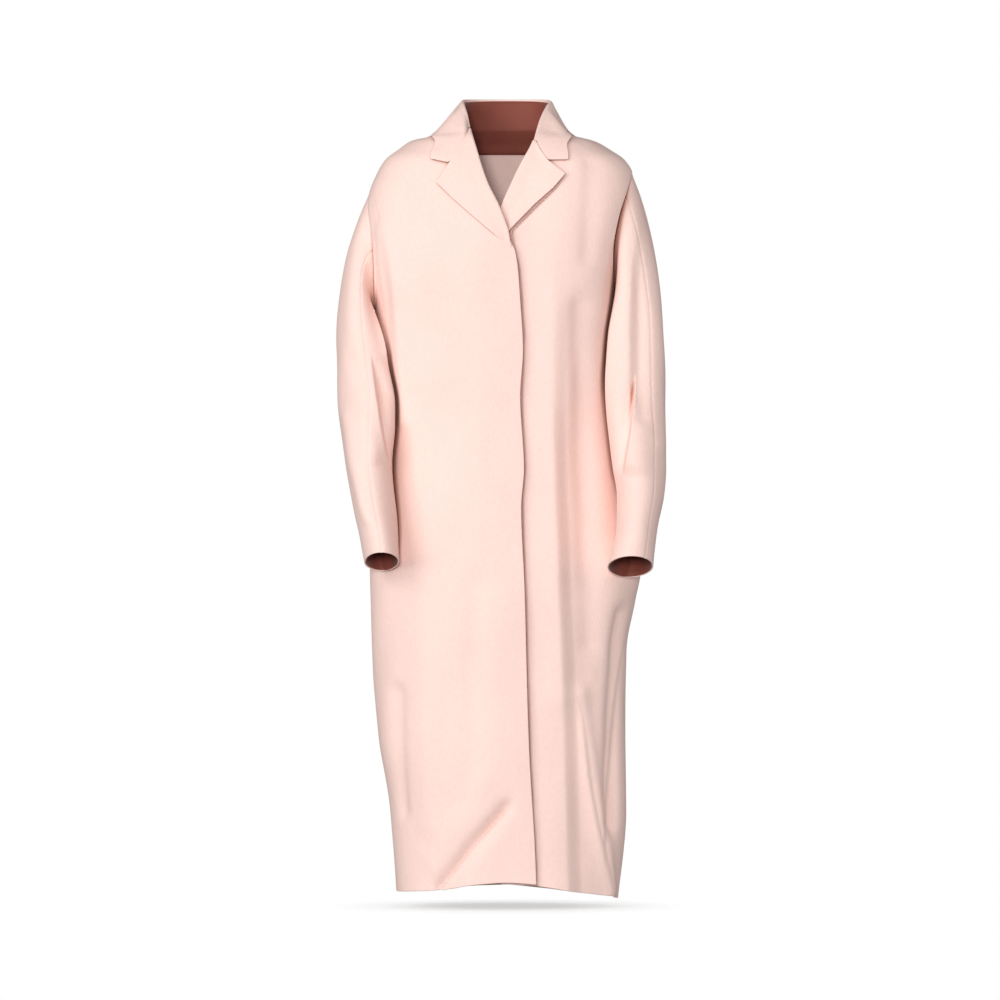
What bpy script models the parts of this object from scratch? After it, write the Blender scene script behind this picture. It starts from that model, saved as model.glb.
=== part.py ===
"""A long single-breasted coat with notch lapels, in the hollow form it has when worn.

Metres, +Z up. The front faces -Y and the wearer's right is -X. The origin lies between the
shoulders at the height of the neck seam, where the wearer carries the coat.
"""

from collections import namedtuple
from functools import lru_cache

import bpy
import numpy as np

RIGHT, LEFT = -1, 1
MM = 0.001
WALL = 2.2 * MM
LINING_WALL = 1.0 * MM
SEAM_GAP = 0.3 * MM
LINING_GAP = 0.9 * MM
FOLD_RADIUS = 3.2 * MM
OVER_LIFT = 3.0 * MM
UNDER_DROP = 4.6 * MM
LAPEL_LIFT = 4.0 * MM
COLLAR_LIFT = 4.8 * MM
SLEEVE_CLEARANCE = 3.5 * MM
NECK_HEIGHT = 10 * MM
NECK_DIP = 16 * MM
EDGE_SETBACK = 5.5 * MM
GORGE_SETBACK = 5 * MM
LAPEL_FOOT_GAP = 0.8 * MM
STEP = 0.4 * MM

# How finely each piece is divided, and how its rows crowd towards one end.
SHOULDER_ROWS = 7
SHOULDER_CROWDING = 1.5
ARMHOLE_ROWS = 10
SKIRT_ROWS = 20
SKIRT_CROWDING = 0.9
FRONT_COLUMNS = 12
BACK_COLUMNS = 20
CAP_ROWS = 7
CAP_CROWDING = 1.2
TUBE_ROWS = 13
RIB_STEPS = 2
FLAP_COLUMNS = 6
CREST_STEPS = 4
SHARP_DEGREES = 50

# Half-widths to the wearer's right and left, depths to front and back, and how square it is.
Section = namedtuple("Section", "height right left front back square")
BODY = [
    Section(0.012, 0.0775, 0.0735, 0.079, 0.0585, 2.0),
    Section(0.000, 0.107, 0.100, 0.087, 0.066, 2.1),
    Section(-0.009, 0.147, 0.135, 0.092, 0.072, 2.3),
    Section(-0.023, 0.168, 0.160, 0.098, 0.078, 2.5),
    Section(-0.039, 0.189, 0.182, 0.104, 0.084, 2.7),
    Section(-0.062, 0.203, 0.194, 0.110, 0.092, 2.8),
    Section(-0.087, 0.213, 0.195, 0.115, 0.100, 2.9),
    Section(-0.130, 0.221, 0.187, 0.121, 0.108, 3.0),
    Section(-0.180, 0.219, 0.174, 0.126, 0.114, 3.0),
    Section(-0.225, 0.213, 0.168, 0.128, 0.116, 3.0),
    Section(-0.270, 0.205, 0.165, 0.128, 0.116, 2.9),
    Section(-0.320, 0.198, 0.161, 0.127, 0.115, 2.8),
    Section(-0.370, 0.188, 0.160, 0.126, 0.114, 2.8),
    Section(-0.410, 0.182, 0.162, 0.125, 0.114, 2.7),
    Section(-0.500, 0.187, 0.172, 0.127, 0.117, 2.5),
    Section(-0.600, 0.202, 0.189, 0.131, 0.122, 2.4),
    Section(-0.670, 0.2115, 0.207, 0.134, 0.125, 2.4),
    Section(-0.720, 0.2105, 0.198, 0.135, 0.126, 2.4),
    Section(-0.800, 0.2085, 0.184, 0.135, 0.128, 2.4),
    Section(-0.930, 0.199, 0.183, 0.134, 0.130, 2.4),
    Section(-1.044, 0.180, 0.183, 0.130, 0.129, 2.4),
    Section(-1.180, 0.171, 0.171, 0.124, 0.124, 2.4),
]

# The height of the hem round the body, by degrees from the front centre.
Hem = namedtuple("Hem", "degrees height")
HEM = [
    Hem(-180, -1.163), Hem(-90, -1.167), Hem(-50, -1.163), Hem(-20, -1.153), Hem(0, -1.150),
    Hem(20, -1.153), Hem(50, -1.166), Hem(90, -1.178), Hem(180, -1.163),
]

# Each front's free edge, by its distance to the wearer's left of the centre plane. Above the
# break of the lapel it is the roll line.
Edge = namedtuple("Edge", "height over under")
EDGES = [
    Edge(0.022, -0.0578, 0.0500),
    Edge(0.001, -0.0539, 0.0415),
    Edge(-0.020, -0.0477, 0.0328),
    Edge(-0.045, -0.0400, 0.0212),
    Edge(-0.079, -0.0277, 0.0055),
    Edge(-0.111, -0.0123, -0.0094),
    Edge(-0.148, 0.0015, -0.0240),
    Edge(-0.179, 0.0108, -0.0310),
    Edge(-0.209, 0.0154, -0.0325),
    Edge(-0.253, 0.0185, -0.0310),
    Edge(-0.335, 0.0231, -0.0270),
    Edge(-0.404, 0.0189, -0.0290),
    Edge(-0.516, 0.0246, -0.0260),
    Edge(-0.575, 0.0205, -0.0270),
    Edge(-0.704, 0.0256, -0.0250),
    Edge(-0.924, 0.0313, -0.0200),
    Edge(-1.101, 0.0410, -0.0110),
    Edge(-1.180, 0.0440, -0.0080),
]

# Between these heights a front's edge draws back under the lapel's roll, and further at the gorge.
SETBACK_RISE = (-0.194, -0.178)
GORGE_RISE = (-0.035, -0.012)

# Where the fronts part, one lapping over the other: by height, and by degrees from the centre.
LAP_RISE = (-0.02, -0.09)
OVER_DEGREES = (-45, -16)
UNDER_DEGREES = (40, 14)
UNDER_DIP = 3 * MM

# The armholes: the heights of the shoulder point and the underarm, and how many degrees round
# the body each one reaches forward and back from the side.
Armhole = namedtuple("Armhole", "top bottom forward backward")
ARMHOLES = {RIGHT: Armhole(-0.092, -0.270, 18, 19), LEFT: Armhole(-0.057, -0.252, 23, 21)}

# Soft folds pressed out of (+) or into (-) the body: three places along each one, by distance
# from the centre plane and height, then its half-width and its depth.
Fold = namedtuple("Fold", "face x0 z0 x1 z1 x2 z2 width depth")
FOLDS = [
    Fold("front", -0.097, -1.160, -0.045, -1.090, 0.000, -1.035, 0.013, -0.0070),
    Fold("front", -0.110, -1.120, -0.070, -1.060, -0.040, -1.000, 0.022, 0.0040),
    Fold("front", 0.108, -0.864, 0.126, -0.987, 0.158, -1.166, 0.017, 0.0080),
    Fold("front", 0.176, -0.740, 0.160, -0.900, 0.158, -1.060, 0.014, -0.0080),
    Fold("front", 0.080, -0.270, 0.082, -0.550, 0.086, -0.860, 0.024, 0.0050),
    Fold("front", 0.112, -0.270, 0.120, -0.520, 0.130, -0.780, 0.020, -0.0060),
    Fold("front", 0.131, -0.050, 0.128, -0.120, 0.124, -0.190, 0.014, -0.0040),
    Fold("front", -0.169, -0.860, -0.166, -0.950, -0.160, -1.040, 0.013, -0.0050),
    Fold("front", -0.118, -0.700, -0.120, -0.880, -0.116, -1.060, 0.024, 0.0050),
    Fold("front", -0.049, -0.700, -0.052, -0.880, -0.055, -1.020, 0.024, -0.0050),
    Fold("front", -0.190, -0.150, -0.174, -0.300, -0.156, -0.440, 0.014, 0.0060),
    Fold("back", -0.120, -0.480, -0.128, -0.820, -0.132, -1.168, 0.026, 0.0090),
    Fold("back", -0.060, -0.560, -0.062, -0.860, -0.070, -1.165, 0.021, -0.0080),
    Fold("back", 0.020, -0.460, 0.016, -0.820, 0.010, -1.168, 0.027, 0.0080),
    Fold("back", 0.085, -0.600, 0.090, -0.880, 0.096, -1.165, 0.020, -0.0090),
    Fold("back", 0.140, -0.520, 0.146, -0.840, 0.142, -1.168, 0.022, 0.0080),
    Fold("back", 0.095, -0.110, 0.120, -0.190, 0.134, -0.300, 0.017, -0.0050),
    Fold("back", -0.110, -0.120, -0.145, -0.210, -0.165, -0.330, 0.019, -0.0055),
    Fold("back", -0.120, -0.400, -0.040, -0.425, 0.060, -0.415, 0.018, -0.0045),
]
GIRTH_RADIUS = 0.165
SLEEVE_RADIUS = 0.045
FOLD_PIECES = 4

# The sleeves by height of ring: distances of the outer and inner sides from the centre plane,
# of the front and back from the side plane, and how far the ring rises towards the front.
Ring = namedtuple("Ring", "height outer inner front back tilt")
SLEEVES = {
    RIGHT: [
        Ring(-0.330, 0.2628, 0.1740, -0.092, 0.056, 0.00),
        Ring(-0.410, 0.2600, 0.1610, -0.109, 0.038, 0.02),
        Ring(-0.467, 0.2545, 0.1700, -0.130, 0.018, 0.05),
        Ring(-0.511, 0.2490, 0.1760, -0.145, -0.006, 0.08),
        Ring(-0.547, 0.2426, 0.1740, -0.156, -0.025, 0.12),
        Ring(-0.584, 0.2350, 0.1700, -0.167, -0.045, 0.16),
        Ring(-0.619, 0.2260, 0.1665, -0.178, -0.063, 0.21),
        Ring(-0.658, 0.2190, 0.1640, -0.190, -0.082, 0.28),
    ],
    LEFT: [
        Ring(-0.300, 0.2415, 0.1380, -0.090, 0.058, 0.00),
        Ring(-0.363, 0.2430, 0.1380, -0.104, 0.046, 0.02),
        Ring(-0.420, 0.2430, 0.1450, -0.122, 0.026, 0.04),
        Ring(-0.471, 0.2430, 0.1540, -0.138, 0.004, 0.07),
        Ring(-0.514, 0.2427, 0.1610, -0.150, -0.014, 0.11),
        Ring(-0.560, 0.2395, 0.1680, -0.164, -0.036, 0.16),
        Ring(-0.608, 0.2310, 0.1670, -0.178, -0.058, 0.22),
        Ring(-0.666, 0.2245, 0.1530, -0.194, -0.084, 0.31),
    ],
}
# Degrees round each sleeve from its outer side forwards to the overarm seam.
OVERARM_SEAM = {RIGHT: 90, LEFT: 54}

# How the caps leave the armholes and meet the tubes.
CAP_PULL = {RIGHT: 1.9, LEFT: 2.4}
CAP_UNDER, CAP_OVER = 0.55, 0.35
CAP_ARRIVE = 0.9
CAP_ROUND = 1.5
CAP_STEP = 20 * MM
CAP_CLEAR_FROM = 0.2
ARMHOLE_STEP = 3 * MM
SLEEVE_INSET = 0.42 * MM
PUSH_SOFTNESS = (1.5 * MM, 0.2 * MM)

# Soft folds of the sleeves: degrees round and height at each end, half-width and depth.
SleeveFold = namedtuple("SleeveFold", "degrees0 height0 degrees1 height1 width depth")
SLEEVE_FOLDS = {
    RIGHT: [
        SleeveFold(60, -0.345, 125, -0.505, 0.011, -0.0060),
        SleeveFold(100, -0.390, 165, -0.440, 0.010, -0.0050),
        SleeveFold(250, -0.400, 300, -0.520, 0.012, -0.0050),
        SleeveFold(40, -0.440, 60, -0.600, 0.014, 0.0040),
    ],
    LEFT: [
        SleeveFold(70, -0.160, 75, -0.440, 0.012, -0.0060),
        SleeveFold(105, -0.410, 130, -0.520, 0.011, -0.0050),
        SleeveFold(240, -0.380, 290, -0.500, 0.012, -0.0050),
        SleeveFold(30, -0.240, 35, -0.480, 0.014, 0.0040),
    ],
}

# A lapel's ribs: where each one leaves the roll line, by height, and where it ends at the
# lapel's outer edge, by distance from the centre plane and height.
Rib = namedtuple("Rib", "roll_height edge_x edge_z")
LAPELS = {
    RIGHT: [
        Rib(0.0060, -0.0602, 0.0015), Rib(-0.0100, -0.0740, -0.0230), Rib(-0.0280, -0.0893, -0.0488),
        Rib(-0.0380, -0.0985, -0.0627), Rib(-0.0520, -0.1080, -0.0770), Rib(-0.0720, -0.0825, -0.1015),
        Rib(-0.1000, -0.0470, -0.1320), Rib(-0.1250, -0.0280, -0.1490), Rib(-0.1470, -0.0085, -0.1660),
        Rib(-0.1630, 0.0005, -0.1745), Rib(-0.1730, 0.0062, -0.1785),
    ],
    LEFT: [
        Rib(-0.0165, 0.0410, -0.0195), Rib(-0.0215, 0.0500, -0.0290), Rib(-0.0275, 0.0631, -0.0448),
        Rib(-0.0370, 0.0755, -0.0548), Rib(-0.0480, 0.0880, -0.0645), Rib(-0.0640, 0.0700, -0.0870),
        Rib(-0.0840, 0.0436, -0.1115), Rib(-0.1060, 0.0226, -0.1315), Rib(-0.1260, 0.0022, -0.1515),
        Rib(-0.1450, -0.0100, -0.1640), Rib(-0.1600, -0.0205, -0.1725),
    ],
}
NOTCH = {RIGHT: (-0.0893, -0.0466), LEFT: (0.0631, -0.0426)}
NOTCH_SHARE = 0.6
LAPEL_SETTLE = 0.8

# The collar by station round the neck: the top of its roll, and its outer edge on the body by
# degrees from the front centre and height.
Station = namedtuple("Station", "x y z degrees height")
COLLAR = [
    Station(-0.0566, -0.0610, 0.0090, -50.5, -0.0430),
    Station(-0.0607, -0.0490, 0.0300, -55.0, -0.0200),
    Station(-0.0655, -0.0260, 0.0460, -72.0, -0.0020),
    Station(-0.0670, 0.0000, 0.0520, -90.0, 0.0020),
    Station(-0.0625, 0.0300, 0.0555, -115.0, -0.0120),
    Station(-0.0410, 0.0590, 0.0575, -146.0, -0.0320),
    Station(0.0000, 0.0720, 0.0580, -180.0, -0.0400),
    Station(0.0410, 0.0590, 0.0575, -214.0, -0.0310),
    Station(0.0615, 0.0300, 0.0550, -245.0, -0.0080),
    Station(0.0655, 0.0000, 0.0515, -270.0, 0.0035),
    Station(0.0605, -0.0280, 0.0440, -289.0, 0.0020),
    Station(0.0505, -0.0570, 0.0230, -310.0, -0.0190),
    Station(0.0400, -0.0920, -0.0130, -317.5, -0.0440),
]
COLLAR_STEPS = 2
COLLAR_COLUMNS = 9
COLLAR_ARRIVE = 0.8
COLLAR_EDGE_STEP = 10 * MM
END_STATIONS = 1.6
STAND_START = 1.0
STAND_ROWS = 3
LINING_SPAN = 64
LINING_COLUMNS = 18
LINING_ROWS = 4
LINING_CROWDING = 1.6
LINING_TOP = 8 * MM
BACK_LINING_GAP = 2.0 * MM
LINING_DEPTH = 0.026
CUFF_INSET = 3 * MM
CUFF_LINING_ROWS = 4

WOOL = (0.93, 0.72, 0.64)
WOOL_SHADE = (0.88, 0.66, 0.58)
LINING_BROWN = (0.11, 0.030, 0.018)


def column(table, name):
    return np.array([getattr(row, name) for row in table], float)


def smooth(knots, values, at):
    """A curve through the values that rises and falls only where they do."""
    if knots[0] > knots[-1]:
        knots, values = knots[::-1], values[::-1]
    steps = np.diff(knots)
    slopes = np.diff(values) / steps
    same_way = slopes[:-1] * slopes[1:]
    total = slopes[:-1] + slopes[1:]
    inner = np.where(same_way > 0, 2 * same_way / np.where(total == 0, 1, total), 0)
    tangents = np.concatenate([slopes[:1], inner, slopes[-1:]])
    at = np.clip(at, knots[0], knots[-1])
    place = np.clip(np.searchsorted(knots, at) - 1, 0, len(steps) - 1)
    step = steps[place]
    t = (at - knots[place]) / step
    start = values[place] * (1 + 2 * t) * (1 - t) ** 2 + tangents[place] * step * t * (1 - t) ** 2
    end = values[place + 1] * t**2 * (3 - 2 * t) + tangents[place + 1] * step * t**2 * (t - 1)
    return start + end


def ease(start, end, at):
    """0 at start and before, 1 at end and after, with soft ends."""
    t = np.clip((at - start) / (end - start), 0, 1)
    return t * t * (3 - 2 * t)


def unit(vectors):
    return vectors / np.maximum(np.linalg.norm(vectors, axis=-1, keepdims=True), 1e-12)


# ---- the body's form


def body_radius(angle, height):
    across, along = np.sin(angle), np.cos(angle)
    heights = column(BODY, "height")
    size = {name: smooth(heights, column(BODY, name), height) for name in Section._fields[1:]}
    half_width = np.where(across < 0, size["right"], size["left"])
    depth = np.where(along > 0, size["front"], size["back"])
    power = size["square"]
    return (np.abs(across / half_width) ** power + np.abs(along / depth) ** power) ** (-1 / power)


def angle_at(x, height, face="front"):
    """The angle round the body at which its surface is this far from the centre plane."""
    x, height = np.broadcast_arrays(np.asarray(x, float), np.asarray(height, float))
    low, high = np.full(x.shape, -np.pi / 2), np.full(x.shape, np.pi / 2)
    for _ in range(40):
        middle = (low + high) / 2
        angle = middle if face == "front" else np.pi - middle
        too_far = body_radius(angle, height) * np.sin(angle) > x
        high = np.where(too_far, middle, high)
        low = np.where(too_far, low, middle)
    return middle if face == "front" else np.pi - middle


def turn_between(angle, centre):
    return (angle - centre + np.pi) % (2 * np.pi) - np.pi


def stretch_distance(angle, height, start, end):
    """How far each place on the body is from a straight stretch between two places on it."""
    middle = (start[0] + end[0]) / 2
    across = turn_between(angle, middle) * GIRTH_RADIUS
    ax, bx = ((place[0] - middle) * GIRTH_RADIUS for place in (start, end))
    run, rise = bx - ax, end[1] - start[1]
    share = np.clip(((across - ax) * run + (height - start[1]) * rise) / (run**2 + rise**2), 0, 1)
    return np.hypot(across - ax - share * run, height - start[1] - share * rise)


@lru_cache(maxsize=None)
def fold_path(fold):
    """Places along the fold, by angle and height, on a curve through its middle one."""
    t = np.linspace(0, 1, FOLD_PIECES + 1)
    weights = [(1 - t) * (1 - 2 * t), 4 * t * (1 - t), t * (2 * t - 1)]
    x = weights[0] * fold.x0 + weights[1] * fold.x1 + weights[2] * fold.x2
    z = weights[0] * fold.z0 + weights[1] * fold.z1 + weights[2] * fold.z2
    return list(zip(angle_at(x, z, fold.face), z))


def fold_relief(angle, height):
    relief = np.zeros(np.broadcast(angle, height).shape)
    for fold in FOLDS:
        places = fold_path(fold)
        pairs = zip(places[:-1], places[1:])
        away = np.min([stretch_distance(angle, height, a, b) for a, b in pairs], axis=0)
        relief = relief + fold.depth * np.exp(-((away / fold.width) ** 2))
    return relief


def front_relief(side, angle, height):
    """How far a front lies out from the body, where the right one laps over the left."""
    low = ease(*LAP_RISE, height)
    if side == RIGHT:
        return OVER_LIFT * low * ease(*np.radians(OVER_DEGREES), angle)
    return -UNDER_DROP * low * ease(*np.radians(UNDER_DEGREES), angle)


def polar_point(angle, radius, height):
    height = np.broadcast_to(height, np.shape(radius))
    return np.stack([radius * np.sin(angle), -radius * np.cos(angle), height], axis=-1)


def body_point(angle, height, side=None):
    radius = body_radius(angle, height) + fold_relief(angle, height)
    if side:
        radius = radius + front_relief(side, angle, height)
    return polar_point(angle, radius, height)


def normal_of(form, first, second, facing=1):
    """The outward direction of a form given by two coordinates, from small steps in each."""
    along_first = form(first + STEP, second) - form(first - STEP, second)
    along_second = form(first, second + STEP) - form(first, second - STEP)
    return facing * unit(np.cross(along_first, along_second))


def body_normal(angle, height, side=None):
    return normal_of(lambda a, h: body_point(a, h, side), angle, height)


def hem_height(angle):
    degrees = (np.degrees(angle) + 180) % 360 - 180
    return smooth(column(HEM, "degrees"), column(HEM, "height"), degrees)


def edge_x(side, height):
    name = "over" if side == RIGHT else "under"
    return smooth(column(EDGES, "height"), column(EDGES, name), height)


def armhole_place(side, turn, gap=0.0):
    """Angle and height on the armhole's edge, turning from the shoulder point forwards."""
    hole = ARMHOLES[side]
    half = (hole.top - hole.bottom) / 2
    spread = np.where(np.sin(turn) > 0, hole.forward, hole.backward)
    reach = np.radians(spread) - gap / body_radius(side * np.pi / 2, (hole.top + hole.bottom) / 2)
    angle = side * (np.pi / 2 - reach * np.sin(turn))
    return angle, (hole.top + hole.bottom) / 2 + (half - gap) * np.cos(turn)


# ---- solids from grids of points


def wall_faces(rows, columns):
    """The faces between two matching grids of points, and round their rims."""

    def at(layer, i, j):
        return (layer * rows + i) * columns + j

    faces = []
    for i in range(rows - 1):
        for j in range(columns - 1):
            for layer in (0, 1):
                corners = [(i, j), (i, j + 1), (i + 1, j + 1), (i + 1, j)]
                corners = [at(layer, *corner) for corner in corners]
                faces.append(corners if layer == 0 else corners[::-1])
    rim = [(0, j) for j in range(columns - 1)]
    rim += [(i, columns - 1) for i in range(rows - 1)]
    rim += [(rows - 1, j) for j in range(columns - 1, 0, -1)]
    rim += [(i, 0) for i in range(rows - 1, 0, -1)]
    for (i, j), (k, m) in zip(rim, rim[1:] + rim[:1]):
        faces.append([at(0, i, j), at(1, i, j), at(1, k, m), at(0, k, m)])
    return faces


def tube_faces(rows, columns):
    """The faces between two matching grids of points whose rows are closed rings."""
    faces = []
    inner, last = rows * columns, (rows - 1) * columns
    for j in range(columns):
        k = (j + 1) % columns
        for i in range(rows - 1):
            here, below = i * columns, (i + 1) * columns
            corners = [here + j, here + k, below + k, below + j]
            faces.append(corners)
            faces.append([inner + corner for corner in corners[::-1]])
        faces.append([inner + j, inner + k, k, j])
        faces.append([last + j, last + k, inner + last + k, inner + last + j])
    return faces


def make_solid(name, outer, inner, material, list_faces=wall_faces):
    """One closed wall between an outer and an inner grid of points."""
    points = np.concatenate([outer.reshape(-1, 3), inner.reshape(-1, 3)])
    mesh = bpy.data.meshes.new(name)
    mesh.from_pydata(points.tolist(), [], list_faces(*outer.shape[:2]))
    mesh.update()
    mesh.calc_loop_triangles()
    corners = points[np.array([tri.vertices for tri in mesh.loop_triangles])]
    if np.einsum("ij,ij->i", corners[:, 0], np.cross(corners[:, 1], corners[:, 2])).sum() < 0:
        mesh.flip_normals()
    mesh.shade_smooth()
    mesh.set_sharp_from_angle(angle=np.radians(SHARP_DEGREES))
    mesh.materials.append(material)
    bpy.context.scene.collection.objects.link(bpy.data.objects.new(name, mesh))


def grid_normals(points):
    """Directions across a grid of points, taken from its neighbours."""
    return unit(np.cross(np.gradient(points, axis=0), np.gradient(points, axis=1)))


# ---- the panels


def panel_rows():
    """For each row of a panel: its part of the body, its share of that part, and its turn."""
    above = np.arange(SHOULDER_ROWS) / SHOULDER_ROWS
    below = np.arange(1, SKIRT_ROWS + 1) / SKIRT_ROWS
    shoulder = [("shoulder", share, 0.0) for share in above**SHOULDER_CROWDING]
    armhole = [("armhole", 0.0, turn) for turn in np.linspace(0, np.pi, ARMHOLE_ROWS + 1)]
    skirt = [("skirt", share, np.pi) for share in below**SKIRT_CROWDING]
    return shoulder + armhole + skirt


def row_height(side, part, share, turn, angle, top):
    hole = ARMHOLES[side]
    if part == "shoulder":
        return top + (hole.top - top) * share
    if part == "armhole":
        return np.full(np.shape(angle), armhole_place(side, turn)[1])
    return hole.bottom + (hem_height(angle) - hole.bottom) * share


def outer_angle(side, part, turn, face):
    """Where a row ends: at the shoulder seam, the armhole or the side seam."""
    forwards = 1 if face == "front" else -1
    if part == "armhole":
        return float(armhole_place(side, forwards * turn)[0])
    return side * np.pi / 2


def seam_inset(angle, height):
    return 0.5 * SEAM_GAP / body_radius(angle, height)


def front_panel(side):
    """The grid of a front, as angles and heights, from its free edge to its seams."""
    angles, heights = [], []
    share_across = np.linspace(0, 1, FRONT_COLUMNS + 1)
    top = NECK_HEIGHT - NECK_DIP * (1 - share_across)
    for part, share, turn in panel_rows():
        end = outer_angle(side, part, turn, "front")
        guess = row_height(side, part, share, turn, share_across * end, top)
        setback = EDGE_SETBACK * ease(*SETBACK_RISE, guess[0])
        setback += GORGE_SETBACK * ease(*GORGE_RISE, guess[0])
        start = angle_at(edge_x(side, guess[0]) + side * setback, guess[0])
        end = end - side * seam_inset(end, guess[-1])
        angle = start + (end - start) * share_across
        angles.append(angle)
        heights.append(row_height(side, part, share, turn, angle, top))
    heights = np.array(heights)
    if side == LEFT:
        heights[-1] -= UNDER_DIP * (1 - share_across)
    return np.array(angles), heights


def back_panel():
    """The grid of the back, from the wearer's left side round to the right."""
    angles, heights = [], []
    share_across = np.linspace(0, 1, BACK_COLUMNS + 1)
    toward_right = ease(0, 1, share_across)
    for part, share, turn in panel_rows():
        start = outer_angle(LEFT, part, turn, "back")
        end = outer_angle(RIGHT, part, turn, "back") + 2 * np.pi
        start += seam_inset(start, 0)
        end -= seam_inset(end, 0)
        angle = start + (end - start) * share_across
        left = row_height(LEFT, part, share, turn, angle, NECK_HEIGHT)
        right = row_height(RIGHT, part, share, turn, angle, NECK_HEIGHT)
        angles.append(angle)
        heights.append(left + (right - left) * toward_right)
    return np.array(angles), np.array(heights)


def make_panels(wool, shade):
    for name, side, grid in (
        ("back", None, back_panel()),
        ("front_right", RIGHT, front_panel(RIGHT)),
        ("front_left", LEFT, front_panel(LEFT)),
    ):
        outer = body_point(*grid, side)
        inner = outer - body_normal(*grid, side) * WALL
        make_solid(name, outer, inner, shade if name == "back" else wool)


# ---- the sleeves


def clear_of_body(points, lift):
    """Moves points out along the body's normal until they lie this far above it."""
    for soft in PUSH_SOFTNESS:
        angle = np.arctan2(points[..., 0], -points[..., 1])
        height = points[..., 2]
        radius = body_radius(angle, height) + fold_relief(angle, height)
        slope = (body_radius(angle, height + STEP) - body_radius(angle, height - STEP)) / (2 * STEP)
        steep = np.sqrt(1 + slope**2)
        missing = lift - (np.hypot(points[..., 0], points[..., 1]) - radius) / steep
        push = 0.5 * (missing + np.sqrt(missing**2 + soft**2))
        push = np.where(height > BODY[0].height, 0, push)
        way = polar_point(angle, np.ones_like(slope), -slope) / steep[..., None]
        points = points + way * push[..., None]
    return points


def ring_point(side, turn, height):
    rings = SLEEVES[side]
    knots = column(rings, "height")
    size = {name: smooth(knots, column(rings, name), height) for name in Ring._fields[1:]}
    centre_x, centre_y = (size["outer"] + size["inner"]) / 2, (size["front"] + size["back"]) / 2
    half_x, half_y = (size["outer"] - size["inner"]) / 2, (size["back"] - size["front"]) / 2
    relief = sleeve_relief(side, turn, height)
    x = side * (centre_x + (half_x + relief) * np.cos(turn))
    y = centre_y - (half_y + relief) * np.sin(turn)
    return np.stack([x, y, height + size["tilt"] * (centre_y - y)], axis=-1)


def sleeve_relief(side, turn, height):
    relief = 0.0
    for fold in SLEEVE_FOLDS[side]:
        ax, bx = (np.radians(d) * SLEEVE_RADIUS for d in (fold.degrees0, fold.degrees1))
        run, rise = bx - ax, fold.height1 - fold.height0
        across = turn * SLEEVE_RADIUS
        share = ((across - ax) * run + (height - fold.height0) * rise) / (run**2 + rise**2)
        share = np.clip(share, 0, 1)
        away = np.hypot(across - ax - share * run, height - fold.height0 - share * rise)
        relief = relief + fold.depth * np.exp(-((away / fold.width) ** 2))
    return relief


def sleeve_point(side, turn, along):
    """A point of a sleeve: along runs from 0 at the armhole past 1 under it to 2 at the cuff."""
    rings = SLEEVES[side]
    top, cuff = rings[0].height, rings[-1].height
    tube = ring_point(side, turn, top + (cuff - top) * np.clip(along - 1, 0, 1))
    first = ring_point(side, turn, np.full(np.shape(turn), top))
    second = ring_point(side, turn, np.full(np.shape(turn), top - CAP_STEP))
    start = body_point(*armhole_place(side, turn, SEAM_GAP))
    inward = body_point(*armhole_place(side, turn, ARMHOLE_STEP)) - start
    length = np.linalg.norm(first - start, axis=-1, keepdims=True)
    over = (0.5 + 0.5 * np.cos(turn))[..., None] ** CAP_ROUND
    outward = np.stack([np.full(np.shape(turn), float(side)), 0 * turn, 0 * turn], axis=-1)
    leave = unit(outward + unit(inward) * CAP_PULL[side] * over) * length
    leave = leave * (CAP_UNDER + CAP_OVER * over)
    arrive = unit(second - first) * length * CAP_ARRIVE
    t = np.clip(along, 0, 1)[..., None]
    cap = start * (1 + 2 * t) * (1 - t) ** 2 + leave * t * (1 - t) ** 2
    cap = cap + first * t**2 * (3 - 2 * t) + arrive * t**2 * (t - 1)
    points = np.where(along[..., None] <= 1, cap, tube)
    cleared = clear_of_body(points, SLEEVE_CLEARANCE)
    return points + (cleared - points) * ease(0.0, CAP_CLEAR_FROM, along)[..., None]


def sleeve_grid(side, from_degrees, to_degrees, rows):
    inset = SLEEVE_INSET / SLEEVE_RADIUS
    columns = round((to_degrees - from_degrees) / (180 / ARMHOLE_ROWS)) + 1
    turns = np.radians(np.linspace(from_degrees, to_degrees, columns))
    turns[0] += inset
    turns[-1] -= inset
    return np.meshgrid(turns, rows)


def sleeve_wall(side, turns, along, depth, wall):
    points = sleeve_point(side, turns, along)
    normals = normal_of(lambda t, a: sleeve_point(side, t, a), turns, along, side)
    return points - normals * depth, points - normals * (depth + wall)


def make_sleeve(side, name, wool, shade):
    cap = np.linspace(0, 1, CAP_ROWS + 1) ** CAP_CROWDING
    rows = np.concatenate([cap, np.linspace(1, 2, TUBE_ROWS + 1)[1:]])
    seam = OVERARM_SEAM[side]
    for piece, start, end, material in (
        (f"sleeve_top_{name}", seam - 180, seam, wool),
        (f"sleeve_under_{name}", seam, seam + 180, shade),
    ):
        turns, along = sleeve_grid(side, start, end, rows)
        make_solid(piece, *sleeve_wall(side, turns, along, 0.0, WALL), material)


# ---- the turned-out pieces


def front_surface(side, x, height, lift):
    """A point a little way out from a front, at this place in the front view."""
    angle = angle_at(x, height)
    return body_point(angle, height, side) + body_normal(angle, height, side) * lift[..., None]


def crest_profile():
    """Distance past the roll line and lift above the front, from beneath round to the top."""
    bends = np.radians(np.linspace(-90, 90, CREST_STEPS + 1))
    out = FOLD_RADIUS * (np.cos(bends) - 1)
    lift = FOLD_RADIUS * (np.sin(bends) + 1) - WALL
    foot = LAPEL_FOOT_GAP - EDGE_SETBACK
    return np.concatenate([[foot], out]), np.concatenate([[-WALL], lift])


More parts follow.
